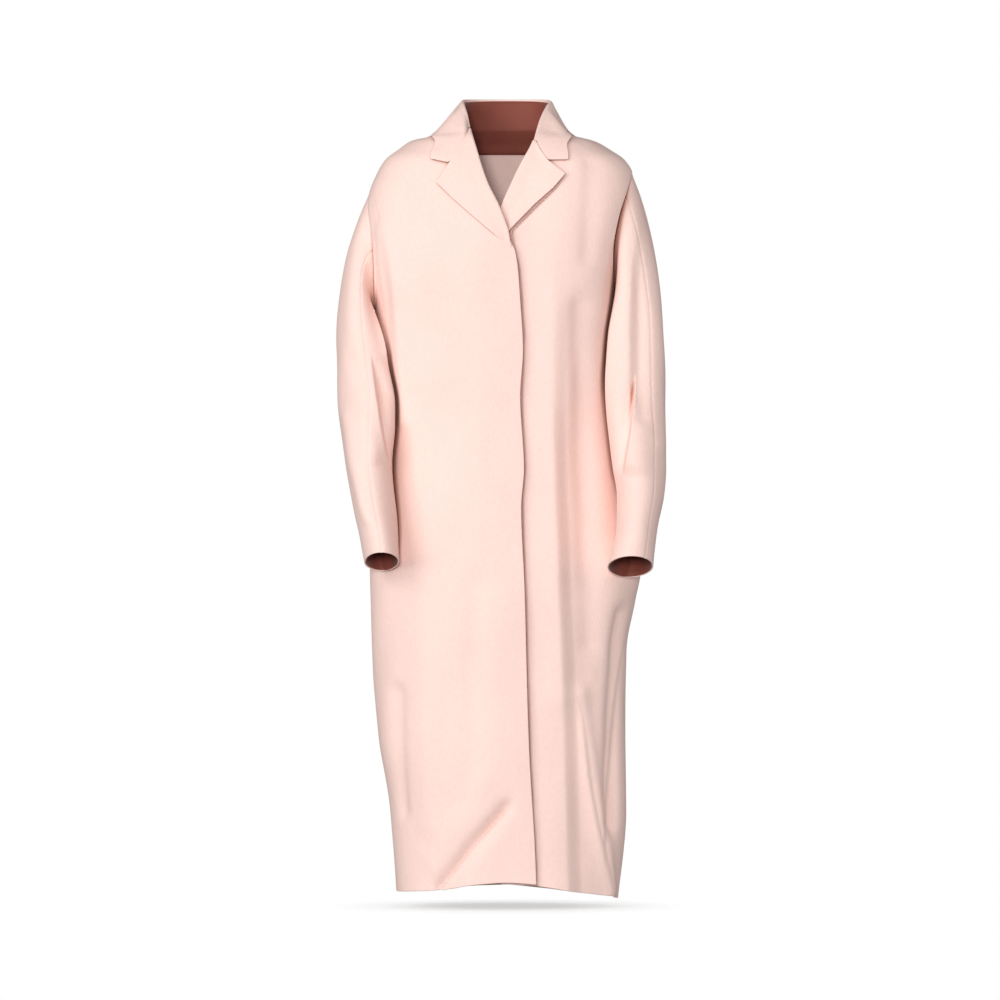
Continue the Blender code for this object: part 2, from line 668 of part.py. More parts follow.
def lapel_points(side):
    ribs = LAPELS[side]
    index = np.linspace(0, len(ribs) - 1, (len(ribs) - 1) * RIB_STEPS + 1)
    places = np.arange(len(ribs))
    roll_z = np.interp(index, places, column(ribs, "roll_height"))
    roll = np.stack([edge_x(side, roll_z), roll_z], axis=-1)
    edge = [np.interp(index, places, column(ribs, name)) for name in ("edge_x", "edge_z")]
    edge = np.stack(edge, axis=-1)
    way, length = unit(edge - roll), np.linalg.norm(edge - roll, axis=-1)
    out, lift = crest_profile()
    share = np.linspace(0, 1, FLAP_COLUMNS + 1)[1:]
    rows = []
    for k in range(len(index)):
        reach = np.concatenate([-out, FOLD_RADIUS + (length[k] - FOLD_RADIUS) * share])
        top = lift[-1] + (LAPEL_LIFT - lift[-1]) * ease(0, LAPEL_SETTLE, share)
        place = roll[k] + way[k] * reach[:, None]
        rows.append(front_surface(side, place[:, 0], place[:, 1], np.concatenate([lift, top])))
    return np.array(rows)


def make_lapel(side, name, material):
    points = lapel_points(side)
    normals = grid_normals(points)
    forwards = -normals[:, -FLAP_COLUMNS:, 1].sum()
    normals = normals * np.sign(forwards)
    make_solid(name, points, points - normals * WALL, material)


def collar_frames(index):
    """Along the collar: the roll's top, the outer edge, and the ways up the roll and outwards."""
    places = np.arange(len(COLLAR), dtype=float)
    crest = np.stack([smooth(places, column(COLLAR, n), index) for n in "xyz"], axis=-1)
    degrees = smooth(places, column(COLLAR, "degrees"), index)
    height = smooth(places, column(COLLAR, "height"), index)
    edge_angle = np.radians(degrees)
    edge = body_point(edge_angle, height) + body_normal(edge_angle, height) * COLLAR_LIFT
    course = unit(np.gradient(crest, axis=0))
    up = crest - edge
    up = unit(up - (up * course).sum(axis=-1, keepdims=True) * course)
    out = np.cross(up, course)
    away = np.stack([crest[:, 0], crest[:, 1], 0 * index], axis=-1)
    out = out * np.sign((out * away).sum(axis=-1, keepdims=True))
    return crest, edge, up, out, edge_angle, height


def collar_index():
    return np.linspace(0, len(COLLAR) - 1, (len(COLLAR) - 1) * COLLAR_STEPS + 1)


def gorge_row(side, crest, edge, share):
    """The collar's front end: down the gorge seam to the notch, then out to its point."""
    stops = np.array([[crest[0], crest[2]], NOTCH[side], [edge[0], edge[2]]])
    x, z = (np.interp(share, [0, NOTCH_SHARE, 1], stops[:, k]) for k in (0, 1))
    return front_surface(side, x, z, np.full(len(share), COLLAR_LIFT))


def collar_points():
    index = collar_index()
    crest, edge, up, out, edge_angle, height = collar_frames(index)
    centre = crest - up * FOLD_RADIUS
    bends = np.radians(np.linspace(-90, 90, CREST_STEPS + 1))[None, :, None]
    turn = np.cos(bends) * up[:, None] + np.sin(bends) * out[:, None]
    turn = centre[:, None] + FOLD_RADIUS * turn
    share = np.linspace(0, 1, COLLAR_COLUMNS + 1)[1:]
    start = turn[:, -1]
    length = np.linalg.norm(edge - start, axis=-1)[:, None]
    below = body_point(edge_angle, height - COLLAR_EDGE_STEP) - body_point(edge_angle, height)
    leave, arrive = -up * length, unit(below) * length * COLLAR_ARRIVE
    t = share[None, :, None]
    fall = start[:, None] * (1 + 2 * t) * (1 - t) ** 2 + leave[:, None] * t * (1 - t) ** 2
    fall = fall + edge[:, None] * t**2 * (3 - 2 * t) + arrive[:, None] * t**2 * (t - 1)
    last = len(COLLAR) - 1
    for end, side in ((0, RIGHT), (-1, LEFT)):
        flat = gorge_row(side, crest[end], edge[end], share)
        blend = (1 - ease(0, END_STATIONS, abs(index - last * (end != 0))))[:, None, None]
        fall = fall + (flat - fall[end])[None] * blend
    fall[1:-1] = clear_of_body(fall[1:-1], COLLAR_LIFT)
    return np.concatenate([turn, fall], axis=1)


def make_collar(material):
    points = collar_points()
    normals = grid_normals(points)
    normals = normals * np.sign(normals[len(points) // 2, -2, 1])
    make_solid("collar", points, points - normals * WALL, material)


def make_stand(material):
    """The band from the neck seam up to the start of the collar's roll."""
    index = collar_index()
    crest, _, up, out, _, _ = collar_frames(index)
    keep = (index >= STAND_START) & (index <= len(COLLAR) - 1 - STAND_START)
    top = (crest - up * (FOLD_RADIUS + SEAM_GAP) - out * FOLD_RADIUS)[keep]
    angle = np.arctan2(top[:, 0], -top[:, 1])
    foot_height = np.full(len(angle), NECK_HEIGHT + SEAM_GAP)
    foot = polar_point(angle, body_radius(angle, foot_height) - WALL, foot_height)
    share = np.linspace(0, 1, STAND_ROWS + 1)[None, :, None]
    points = foot[:, None] + (top - foot)[:, None] * share
    normals = grid_normals(points)
    inner = points + normals * np.sign(normals[len(points) // 2, 1, 1]) * WALL
    inner[:, 0, 2] = points[:, 0, 2]
    make_solid("collar_stand", points, inner, material)


# ---- the linings, where they show


def make_back_lining(material):
    angles = np.pi + np.radians(np.linspace(-LINING_SPAN, LINING_SPAN, LINING_COLUMNS + 1))
    share = np.linspace(0, 1, LINING_ROWS + 1) ** LINING_CROWDING
    heights = LINING_TOP - (LINING_DEPTH + LINING_TOP) * share
    angles, heights = np.meshgrid(angles, heights)
    points, normals = body_point(angles, heights), body_normal(angles, heights)
    outer = points - normals * (WALL + BACK_LINING_GAP)
    make_solid("lining_back", outer, outer - normals * LINING_WALL, material)


def make_sleeve_lining(side, name, material):
    rings = SLEEVES[side]
    inset = CUFF_INSET / (rings[0].height - rings[-1].height)
    rows = 2 - np.concatenate([[inset], np.arange(1, CUFF_LINING_ROWS + 1) / TUBE_ROWS])
    turns, along = np.meshgrid(np.radians(np.linspace(0, 360, 2 * ARMHOLE_ROWS + 1)), rows)
    outer, inner = sleeve_wall(side, turns, along, WALL + LINING_GAP, LINING_WALL)
    make_solid(name, outer[:, :-1], inner[:, :-1], material, tube_faces)


def cloth(name, colour, roughness):
    material = bpy.data.materials.new(name)
    material.use_nodes = True
    shader = material.node_tree.nodes["Principled BSDF"]
    shader.inputs["Base Color"].default_value = (*colour, 1)
    shader.inputs["Roughness"].default_value = roughness
    shader.inputs["Metallic"].default_value = 0.0
    return material


def clear_scene():
    for thing in list(bpy.data.objects):
        bpy.data.objects.remove(thing, do_unlink=True)


def main():
    clear_scene()
    wool = cloth("wool", WOOL, 0.9)
    shade = cloth("wool_shade", WOOL_SHADE, 0.9)
    lining = cloth("lining", LINING_BROWN, 0.5)
    make_panels(wool, shade)
    for side, name in ((RIGHT, "right"), (LEFT, "left")):
        make_sleeve(side, name, wool, shade)
        make_lapel(side, f"lapel_{name}", wool)
        make_sleeve_lining(side, f"lining_sleeve_{name}", lining)
    make_collar(wool)
    make_stand(lining)
    make_back_lining(lining)


main()
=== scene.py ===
"""The looks of a long single-breasted wool coat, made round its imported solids.

Metres, +Z up. The front faces -Y and the wearer's right is -X. Each piece of cloth is a thin
shell on the form of its solid, worked out on a finer grid from tables much like the solid's,
with the creases, sewn grooves and rounded edges that the solids leave out.
"""

import math
from collections import namedtuple
from functools import lru_cache

import bpy
import numpy as np
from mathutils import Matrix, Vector

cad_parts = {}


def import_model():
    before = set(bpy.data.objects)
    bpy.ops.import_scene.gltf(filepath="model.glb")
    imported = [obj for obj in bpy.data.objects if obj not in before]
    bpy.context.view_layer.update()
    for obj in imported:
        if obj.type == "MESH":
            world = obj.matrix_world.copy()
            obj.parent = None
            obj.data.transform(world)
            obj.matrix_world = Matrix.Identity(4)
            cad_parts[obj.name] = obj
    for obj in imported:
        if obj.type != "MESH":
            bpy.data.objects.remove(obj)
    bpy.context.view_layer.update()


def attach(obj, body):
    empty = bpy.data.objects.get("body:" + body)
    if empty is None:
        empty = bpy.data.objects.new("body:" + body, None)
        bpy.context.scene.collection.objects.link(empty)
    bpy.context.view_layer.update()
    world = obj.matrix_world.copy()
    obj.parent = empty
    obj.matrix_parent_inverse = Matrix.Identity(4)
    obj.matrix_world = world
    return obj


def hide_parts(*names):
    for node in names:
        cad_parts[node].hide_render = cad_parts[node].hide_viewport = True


RIGHT, LEFT = -1, 1
SIDES = ((RIGHT, "right"), (LEFT, "left"))
FRONT = np.array([0.0, -1.0, 0.0])
# A place inside the body, which its panels face away from.
MIDDLE = np.array([0.0, 0.0, -0.55])
MM = 0.001
WALL = 2.2 * MM
LINING_WALL = 1.0 * MM
LINING_GAP = 0.9 * MM
FOLD_RADIUS = 3.2 * MM
OVER_LIFT = 4.0 * MM
UNDER_DROP = 6.6 * MM
LAPEL_LIFT = 4.0 * MM
COLLAR_LIFT = 4.8 * MM
SLEEVE_CLEARANCE = 3.5 * MM
LEAST_CLEARANCE = 3.0 * MM
NECK_HEIGHT = 10 * MM
NECK_DIP = 16 * MM
EDGE_SETBACK = 5.5 * MM
GORGE_SETBACK = 5 * MM
LAPEL_FOOT_GAP = 0.8 * MM
STEP = 0.4 * MM

# How finely each piece is divided, and how its rows crowd towards one end.
SHOULDER_ROWS = 26
SHOULDER_CROWDING = 1.3
ARMHOLE_ROWS = 48
SKIRT_ROWS = 190
FRONT_COLUMNS = 120
BACK_COLUMNS = 140
SEAM_CROWDING = 3
CAP_ROWS = 60
CAP_CROWDING = 1.2
TUBE_ROWS = 150
SLEEVE_COLUMNS = 116
RIB_STEPS = 8
FLAP_COLUMNS = 20
CREST_STEPS = 10
CREASE_PIECES = 20
AXIS_COLUMNS = 24
# How often a search for an angle halves its range.
HALVINGS = 40

# Rims and seams: where the extra row beside a rim lies, how far a rim bulges, and the groove.
RIM_SUPPORT = 0.7 * MM
RIM_SHARES = (0.1, 0.5)
RIM_ROUND = 0.35
SEAM_WIDTH = 2.4 * MM
SEAM_DEPTH = 0.7 * MM
SEAM_HOLD = 12 * MM
ARMHOLE_ROLL = {RIGHT: 9 * MM, LEFT: 3.5 * MM}

# Half-widths to the wearer's right and left, depths to front and back, and how square it is.
Section = namedtuple("Section", "height right left front back square")
BODY = [
    Section(0.012, 0.0775, 0.0735, 0.079, 0.0585, 2.0),
    Section(0.000, 0.107, 0.100, 0.087, 0.066, 2.1),
    Section(-0.009, 0.147, 0.135, 0.092, 0.072, 2.3),
    Section(-0.023, 0.168, 0.160, 0.098, 0.078, 2.5),
    Section(-0.039, 0.189, 0.182, 0.104, 0.084, 2.7),
    Section(-0.062, 0.203, 0.194, 0.110, 0.092, 2.8),
    Section(-0.087, 0.213, 0.195, 0.115, 0.100, 2.9),
    Section(-0.130, 0.221, 0.187, 0.121, 0.108, 3.0),
    Section(-0.180, 0.219, 0.174, 0.126, 0.114, 3.0),
    Section(-0.225, 0.213, 0.168, 0.128, 0.116, 3.0),
    Section(-0.270, 0.205, 0.165, 0.128, 0.116, 2.9),
    Section(-0.320, 0.198, 0.161, 0.127, 0.115, 2.8),
    Section(-0.370, 0.188, 0.160, 0.126, 0.114, 2.8),
    Section(-0.410, 0.182, 0.162, 0.125, 0.114, 2.7),
    Section(-0.500, 0.187, 0.172, 0.127, 0.117, 2.5),
    Section(-0.600, 0.202, 0.189, 0.131, 0.122, 2.4),
    Section(-0.670, 0.2115, 0.207, 0.134, 0.125, 2.4),
    Section(-0.720, 0.2105, 0.198, 0.135, 0.126, 2.4),
    Section(-0.800, 0.2085, 0.184, 0.135, 0.128, 2.4),
    Section(-0.930, 0.199, 0.183, 0.134, 0.130, 2.4),
    Section(-1.044, 0.180, 0.183, 0.130, 0.129, 2.4),
    Section(-1.180, 0.171, 0.171, 0.124, 0.124, 2.4),
]

# The height of the hem round the body, by degrees from the front centre.
Hem = namedtuple("Hem", "degrees height")
HEM = [
    Hem(-180, -1.163), Hem(-90, -1.167), Hem(-50, -1.163), Hem(-20, -1.153), Hem(0, -1.150),
    Hem(20, -1.153), Hem(50, -1.166), Hem(90, -1.178), Hem(180, -1.163),
]

# Each front's free edge, by its distance to the wearer's left of the centre plane. Above the
# break of the lapel it is the roll line.
Edge = namedtuple("Edge", "height over under")
EDGES = [
    Edge(0.022, -0.0578, 0.0510),
    Edge(0.001, -0.0539, 0.0440),
    Edge(-0.020, -0.0477, 0.0356),
    Edge(-0.045, -0.0400, 0.0222),
    Edge(-0.079, -0.0277, 0.0055),
    Edge(-0.111, -0.0123, -0.0094),
    Edge(-0.148, 0.0015, -0.0240),
    Edge(-0.179, 0.0108, -0.0310),
    Edge(-0.209, 0.0154, -0.0325),
    Edge(-0.253, 0.0185, -0.0310),
    Edge(-0.335, 0.0231, -0.0270),
    Edge(-0.404, 0.0189, -0.0290),
    Edge(-0.516, 0.0246, -0.0260),
    Edge(-0.575, 0.0205, -0.0270),
    Edge(-0.704, 0.0256, -0.0250),
    Edge(-0.924, 0.0313, -0.0200),
    Edge(-1.101, 0.0410, -0.0110),
    Edge(-1.180, 0.0440, -0.0080),
]

# Between these heights a front's edge draws back under the lapel's roll, and further at the gorge.
SETBACK_RISE = (-0.184, -0.158)
GORGE_RISE = (-0.035, -0.012)

# Where the fronts part, one lapping over the other: by height, and by degrees from the centre.
LAP_RISE = (-0.02, -0.09)
OVER_DEGREES = (-45, -16)
UNDER_DEGREES = (40, 14)
# The under one hangs lower at its free edge, over the last of its rows.
UNDER_DIP = 3 * MM
UNDER_DIP_ROWS = (0.9, 1.0)

# The armholes: the heights of the shoulder point and the underarm, and how many degrees round
# the body each one reaches forward and back from the side.
Armhole = namedtuple("Armhole", "top bottom forward backward")
ARMHOLES = {RIGHT: Armhole(-0.092, -0.270, 18, 19), LEFT: Armhole(-0.057, -0.252, 23, 21)}

# Soft folds pressed out of (+) or into (-) the body: three places along each one, by distance
# from the centre plane and height, then its half-width and its depth.
Fold = namedtuple("Fold", "face x0 z0 x1 z1 x2 z2 width depth")
FOLDS = [
    Fold("front", -0.097, -1.160, -0.045, -1.090, 0.000, -1.035, 0.013, -0.0070),
    Fold("front", -0.110, -1.120, -0.070, -1.060, -0.040, -1.000, 0.022, 0.0040),
    Fold("front", 0.108, -0.864, 0.126, -0.987, 0.158, -1.166, 0.017, 0.0080),
    Fold("front", 0.176, -0.740, 0.160, -0.900, 0.158, -1.060, 0.014, -0.0080),
    Fold("front", 0.080, -0.270, 0.082, -0.550, 0.086, -0.860, 0.024, 0.0050),
    Fold("front", 0.112, -0.270, 0.120, -0.520, 0.130, -0.780, 0.020, -0.0060),
    Fold("front", 0.131, -0.050, 0.128, -0.120, 0.124, -0.190, 0.014, -0.0040),
    Fold("front", -0.169, -0.860, -0.166, -0.950, -0.160, -1.040, 0.013, -0.0050),
    Fold("front", -0.118, -0.700, -0.120, -0.880, -0.116, -1.060, 0.024, 0.0050),
    Fold("front", -0.049, -0.700, -0.052, -0.880, -0.055, -1.020, 0.024, -0.0050),
    Fold("front", -0.190, -0.150, -0.174, -0.300, -0.156, -0.440, 0.014, 0.0060),
    Fold("back", -0.120, -0.480, -0.128, -0.820, -0.132, -1.168, 0.026, 0.0090),
    Fold("back", -0.060, -0.560, -0.062, -0.860, -0.070, -1.165, 0.021, -0.0080),
    Fold("back", 0.020, -0.460, 0.016, -0.820, 0.010, -1.168, 0.027, 0.0080),
    Fold("back", 0.085, -0.600, 0.090, -0.880, 0.096, -1.165, 0.020, -0.0090),
    Fold("back", 0.140, -0.520, 0.146, -0.840, 0.142, -1.168, 0.022, 0.0080),
    Fold("back", 0.095, -0.110, 0.120, -0.190, 0.134, -0.300, 0.017, -0.0050),
    Fold("back", -0.110, -0.120, -0.145, -0.210, -0.165, -0.330, 0.019, -0.0055),
    Fold("back", -0.120, -0.400, -0.040, -0.425, 0.060, -0.415, 0.018, -0.0045),
]
GIRTH_RADIUS = 0.165
SLEEVE_RADIUS = 0.045
FOLD_PIECES = 4

# The sleeves by height of ring: distances of the outer and inner sides from the centre plane,
# of the front and back from the side plane, and how far the ring rises towards the front.
Ring = namedtuple("Ring", "height outer inner front back tilt")
SLEEVES = {
    RIGHT: [
        Ring(-0.330, 0.2628, 0.1740, -0.092, 0.056, 0.00),
        Ring(-0.410, 0.2600, 0.1610, -0.109, 0.038, 0.02),
        Ring(-0.467, 0.2545, 0.1700, -0.130, 0.018, 0.05),
        Ring(-0.511, 0.2490, 0.1760, -0.145, -0.006, 0.08),
        Ring(-0.547, 0.2426, 0.1740, -0.156, -0.025, 0.12),
        Ring(-0.584, 0.2350, 0.1700, -0.167, -0.045, 0.16),
        Ring(-0.619, 0.2260, 0.1665, -0.178, -0.063, 0.21),
        Ring(-0.658, 0.2190, 0.1640, -0.190, -0.082, 0.28),
    ],
    LEFT: [
        Ring(-0.300, 0.2415, 0.1380, -0.090, 0.058, 0.00),
        Ring(-0.363, 0.2430, 0.1380, -0.104, 0.046, 0.02),
        Ring(-0.420, 0.2430, 0.1450, -0.122, 0.026, 0.04),
        Ring(-0.471, 0.2430, 0.1540, -0.138, 0.004, 0.07),
        Ring(-0.514, 0.2427, 0.1610, -0.150, -0.014, 0.11),
        Ring(-0.560, 0.2395, 0.1680, -0.164, -0.036, 0.16),
        Ring(-0.608, 0.2310, 0.1670, -0.178, -0.058, 0.22),
        Ring(-0.666, 0.2245, 0.1530, -0.194, -0.084, 0.31),
    ],
}
# Degrees round each sleeve from its outer side forwards to the overarm seam.
OVERARM_SEAM = {RIGHT: 90, LEFT: 54}

# How the caps leave the armholes and meet the tubes.
CAP_PULL = {RIGHT: 1.9, LEFT: 2.4}
CAP_UNDER, CAP_OVER = 0.55, 0.35
CAP_ARRIVE = 0.9
CAP_ROUND = 1.5
CAP_STEP = 20 * MM

# How the sleeves are pushed clear of the body, and smoothed where they have been.
CAP_CLEAR_FROM = 0.2
PUSH_SOFTNESS = (1.5 * MM, 0.2 * MM)
PUSH_CALMED = (0.0, 0.3 * MM)
CALM_PASSES = 16

# Soft folds of the sleeves: degrees round and height at each end, half-width and depth.
SleeveFold = namedtuple("SleeveFold", "degrees0 height0 degrees1 height1 width depth")
SLEEVE_FOLDS = {
    RIGHT: [
        SleeveFold(60, -0.345, 125, -0.505, 0.011, -0.0015),
        SleeveFold(100, -0.390, 165, -0.440, 0.010, -0.0010),
        SleeveFold(250, -0.400, 300, -0.520, 0.012, -0.0050),
        SleeveFold(40, -0.440, 60, -0.600, 0.014, 0.0040),
        SleeveFold(140, -0.225, 148, -0.335, 0.013, 0.0125),
    ],
    LEFT: [
        SleeveFold(70, -0.160, 75, -0.440, 0.012, -0.0060),
        SleeveFold(105, -0.410, 130, -0.520, 0.011, -0.0010),
        SleeveFold(240, -0.380, 290, -0.500, 0.012, -0.0050),
        SleeveFold(30, -0.240, 35, -0.480, 0.014, 0.0040),
    ],
}

# A lapel's ribs: where each one leaves the roll line, by height, and where it ends at the
# lapel's outer edge, by distance from the centre plane and height.
Rib = namedtuple("Rib", "roll_height edge_x edge_z")
LAPELS = {
    RIGHT: [
        Rib(0.0060, -0.0602, 0.0015), Rib(-0.0100, -0.0740, -0.0230), Rib(-0.0280, -0.0893, -0.0488),
        Rib(-0.0380, -0.0985, -0.0627), Rib(-0.0520, -0.1080, -0.0770), Rib(-0.0720, -0.0825, -0.1015),
        Rib(-0.1000, -0.0470, -0.1320), Rib(-0.1250, -0.0280, -0.1490), Rib(-0.1470, -0.0085, -0.1660),
        Rib(-0.1630, 0.0005, -0.1745), Rib(-0.1730, 0.0062, -0.1785),
    ],
    LEFT: [
        Rib(-0.0125, 0.0425, -0.0155), Rib(-0.0215, 0.0500, -0.0290), Rib(-0.0275, 0.0631, -0.0448),
        Rib(-0.0370, 0.0755, -0.0548), Rib(-0.0480, 0.0880, -0.0645), Rib(-0.0640, 0.0700, -0.0870),
        Rib(-0.0840, 0.0436, -0.1115), Rib(-0.1060, 0.0226, -0.1315), Rib(-0.1260, 0.0022, -0.1515),
        Rib(-0.1450, -0.0100, -0.1640), Rib(-0.1600, -0.0205, -0.1725),
    ],
}
NOTCH = {RIGHT: (-0.0893, -0.0466), LEFT: (0.0631, -0.0426)}
NOTCH_SHARE = 0.6
LAPEL_SETTLE = 0.8

# Towards the break a lapel's edge sinks into the front and its roll grows thin, by rib.
LAPEL_SINKS = {RIGHT: (6.9, 8.9), LEFT: (11, 12)}
LAPEL_THINS = (8.0, 10.0)
LAPEL_SUNK = -1.4 * MM
LAPEL_STANDS = {RIGHT: 0.6 * MM, LEFT: 3.0 * MM}
LAPEL_STANDS_FROM = 0.3

# How far the collar's ends lie over the lapels at the gorge.
GORGE_OVER = 5.5 * MM
GORGE_SINK = 0.5 * MM
GORGE_RAMPS = (0.1, 0.12)

# The collar by station round the neck: the top of its roll, and its outer edge on the body by
# degrees from the front centre and height.
Station = namedtuple("Station", "x y z degrees height")
COLLAR = [
    Station(-0.0566, -0.0610, 0.0090, -50.5, -0.0430),
    Station(-0.0607, -0.0490, 0.0300, -54.5, -0.0165),
    Station(-0.0655, -0.0260, 0.0460, -72.0, -0.0020),
    Station(-0.0670, 0.0000, 0.0520, -90.0, 0.0020),
    Station(-0.0625, 0.0300, 0.0555, -115.0, -0.0120),
    Station(-0.0410, 0.0590, 0.0575, -146.0, -0.0320),
    Station(0.0000, 0.0720, 0.0580, -180.0, -0.0400),
    Station(0.0410, 0.0590, 0.0575, -214.0, -0.0310),
    Station(0.0615, 0.0300, 0.0550, -245.0, -0.0080),
    Station(0.0655, 0.0000, 0.0515, -270.0, 0.0035),
    Station(0.0605, -0.0280, 0.0440, -289.0, 0.0020),
    Station(0.0505, -0.0570, 0.0230, -313.5, -0.0200),
    Station(0.0400, -0.0920, -0.0130, -317.5, -0.0440),
]
COLLAR_STEPS = 10
COLLAR_COLUMNS = 26
COLLAR_ARRIVE = 0.8
COLLAR_EDGE_STEP = 10 * MM
END_STATIONS = 1.6
STAND_START = 1.0
STAND_ROWS = 8
LINING_SPAN = 64
LINING_COLUMNS = 40
LINING_ROWS = 10
LINING_CROWDING = 1.6
LINING_TOP = 12.5 * MM
BACK_LINING_GAP = 2.0 * MM
LINING_DEPTH = 0.026
CUFF_INSET = 0.4 * MM
CUFF_LINING_ROWS = 16
LINING_SHARE = 0.32

# How deep the cloth is drawn in along the front and the back of each armhole, and how far the
# front of each sleeve's cap comes forwards as it leaves the seam.
ARMHOLE_DIPS = {RIGHT: (2.5 * MM, 1.2 * MM), LEFT: (14 * MM, 1.8 * MM)}
DIP_FORWARD = 4.0
DIP_FACING = (-0.1, 0.2)
DIP_ROUND = 0.5
CAP_FORWARD = {RIGHT: 0.25, LEFT: 1.7}

# Creases pressed into the cloth. Each is drawn in the front view, by distance from the centre plane
# and height. The cloth falls away on the side that falls gives: 1 to the left of the way the
# stops run and -1 to the right. It drops by depth within steep, comes back over wide, and stands
# up by lift beside the line. At its two ends it has the start and end shares of its strength.
Crease = namedtuple("Crease", "pieces falls steep wide lift depth start end stops")
SEEN_FACING = (-0.15, 0.2)
LIFT_SPREAD = 3
FULL_SHARES = (0, 0.45, 0.85, 1)
SLEEVE_RIGHT = ("sleeve_top_right", "sleeve_under_right")
SLEEVE_LEFT = ("sleeve_top_left", "sleeve_under_left")
CREASES = [
    # The wearer's right sleeve: the forearm's front lies over the bend of the elbow.
    Crease(
        SLEEVE_RIGHT, 1, 0.0025, 0.014, 0.0100, 0.016, 0.0, 0.0,
        ((-0.2080, -0.345), (-0.2040, -0.374), (-0.1970, -0.420), (-0.1870, -0.480), (-0.1800, -0.508)),
    ),
    # The wearer's left sleeve, the same.
    Crease(
        SLEEVE_LEFT, -1, 0.0025, 0.018, 0.0140, 0.016, 0.0, 0.0,
        ((0.1960, -0.370), (0.1945, -0.405), (0.1879, -0.456), (0.1790, -0.508), (0.1762, -0.526)),
    ),
    # The wearer's left sleeve: a long soft trough down its front.
    Crease(
        SLEEVE_LEFT, 1, 0.016, 0.020, 0.0010, 0.006, 0.1, 0.1,
        ((0.2060, -0.130), (0.1960, -0.230), (0.1920, -0.330), (0.1940, -0.430)),
    ),
    # The body's edge beside the right sleeve.
    Crease(
        ("front_right",), -1, 0.014, 0.040, 0.0015, 0.014, 0.1, 0.0,
        ((-0.1956, -0.143), (-0.1870, -0.189), (-0.1786, -0.256), (-0.1749, -0.319), (-0.1640, -0.440)),
    ),
    # The long slanting crease up from the hem of the right front.
    Crease(
        ("front_right",), 1, 0.003, 0.013, 0.0010, 0.0065, 1.0, 0.1,
        ((-0.0985, -1.160), (-0.0462, -1.093), (-0.0185, -1.063), (0.0100, -1.030)),
    ),
    # The left front: a sharp crease near the side seam, and one at the hem below it.
    Crease(
        ("front_left",), 1, 0.004, 0.018, 0.0010, 0.0065, 0.2, 0.2,
        ((0.1863, -0.756), (0.1648, -0.870), (0.1560, -0.960), (0.1510, -1.050), (0.1510, -1.110)),
    ),
    Crease(
        ("front_left",), 1, 0.005, 0.020, 0.0008, 0.0045, 0.1, 0.6,
        ((0.1078, -0.864), (0.1170, -0.906), (0.1263, -0.987), (0.1386, -1.055), (0.1660, -1.168)),
    ),
    # The left front sinks away beneath the right one's edge, and beneath its own lapel.
    Crease(
        ("front_left",), -1, 0.003, 0.014, 0.0, 0.011, 0.9, 0.8,
        ((0.0075, -0.160), (0.0190, -0.209), (0.0225, -0.253), (0.0268, -0.335), (0.0224, -0.404),
         (0.0278, -0.516), (0.0238, -0.575), (0.0288, -0.704), (0.0346, -0.924), (0.0474, -1.178)),
    ),
    Crease(
        ("front_left",), -1, 0.006, 0.016, 0.0, 0.010, 0.2, 1.0,
        ((0.0895, -0.0650), (0.0714, -0.0884), (0.0456, -0.1136), (0.0250, -0.1340), (0.0064, -0.1524)),
    ),
    # The left front's long ridge, past which it turns away.
    Crease(
        ("front_left",), 1, 0.024, 0.075, 0.0005, 0.0150, 0.0, 0.9,
        ((0.0800, -0.180), (0.0790, -0.400), (0.0860, -0.650), (0.0960, -0.900), (0.1040, -1.175)),
    ),
]

# Slow waves through the panels and the sleeves: radians a metre along each axis, the phase, and
# a depth under a millimetre.
Waver = namedtuple("Waver", "x y z phase depth")
WAVERS = [
    Waver(31, 23, 9, 0.4, 0.0006), Waver(-17, 38, 21, 1.9, 0.0005), Waver(52, -11, 6, 4.1, 0.0004),
    Waver(24, 45, -33, 2.7, 0.0004), Waver(-66, 58, 27, 5.2, 0.00025), Waver(83, 61, 48, 0.9, 0.0002),
]

# Each piece laid flat, without seam allowance: its longest row across, its longest column
# along and its area, all measured on the finished cloth.
Flat = namedtuple("Flat", "across along area")

# The finishes: stops of colour along a pattern, the patterns, and the shader's own settings.
NODE_STEP = 200
# Painted shade: colour stops multiplied into the wool by how hemmed in each place is, so narrow folds
# and recesses turn deep brown; then how far and with how many rays it looks.
PAINTED_FOLD_SHADE = [(0.20, (0.20, 0.075, 0.055)), (0.50, (0.68, 0.49, 0.42)), (0.80, (1.0, 1.0, 1.0))]
PAINTED_SHADE_REACH = 10 * MM
PAINTED_SHADE_SAMPLES = 8
WOOL_TONES = [(0.35, (0.955, 0.700, 0.632)), (0.65, (0.925, 0.675, 0.610))]
WOOL_FLECKS = [(0.3, (0.93, 0.88, 0.86)), (0.62, (1, 1, 1))]
FLECK_SHARE = 0.35
# The lining's dark brown is partly painted shade: it stands for the shadowed hollow inside the sleeves
# and the neck.
LINING_AND_SHADE_TONES = [(0.3, (0.215, 0.053, 0.036)), (0.7, (0.245, 0.064, 0.043))]
Noise = namedtuple("Noise", "scale detail stretch")
WOOL_NOISES = {
    "broad": Noise(9, 3, (1, 1, 0.6)),
    "fleck": Noise(260, 4, (1, 1, 0.6)),
    "fibre": Noise(1500, 2, (1, 1, 0.4)),
    "pucker": Noise(70, 3, (1, 1, 0.7)),
}
LINING_NOISE = Noise(22, 3, (1, 1, 1))
Relief = namedtuple("Relief", "noise strength distance")
WOOL_RELIEFS = [
    Relief("pucker", 0.16, 4 * MM), Relief("fleck", 0.22, 1.2 * MM), Relief("fibre", 0.25, 0.4 * MM),
]
TWILL = {"Scale": 420, "Distortion": 0.6, "Detail": 1.0}
TWILL_RELIEF = (0.15, 0.3 * MM)
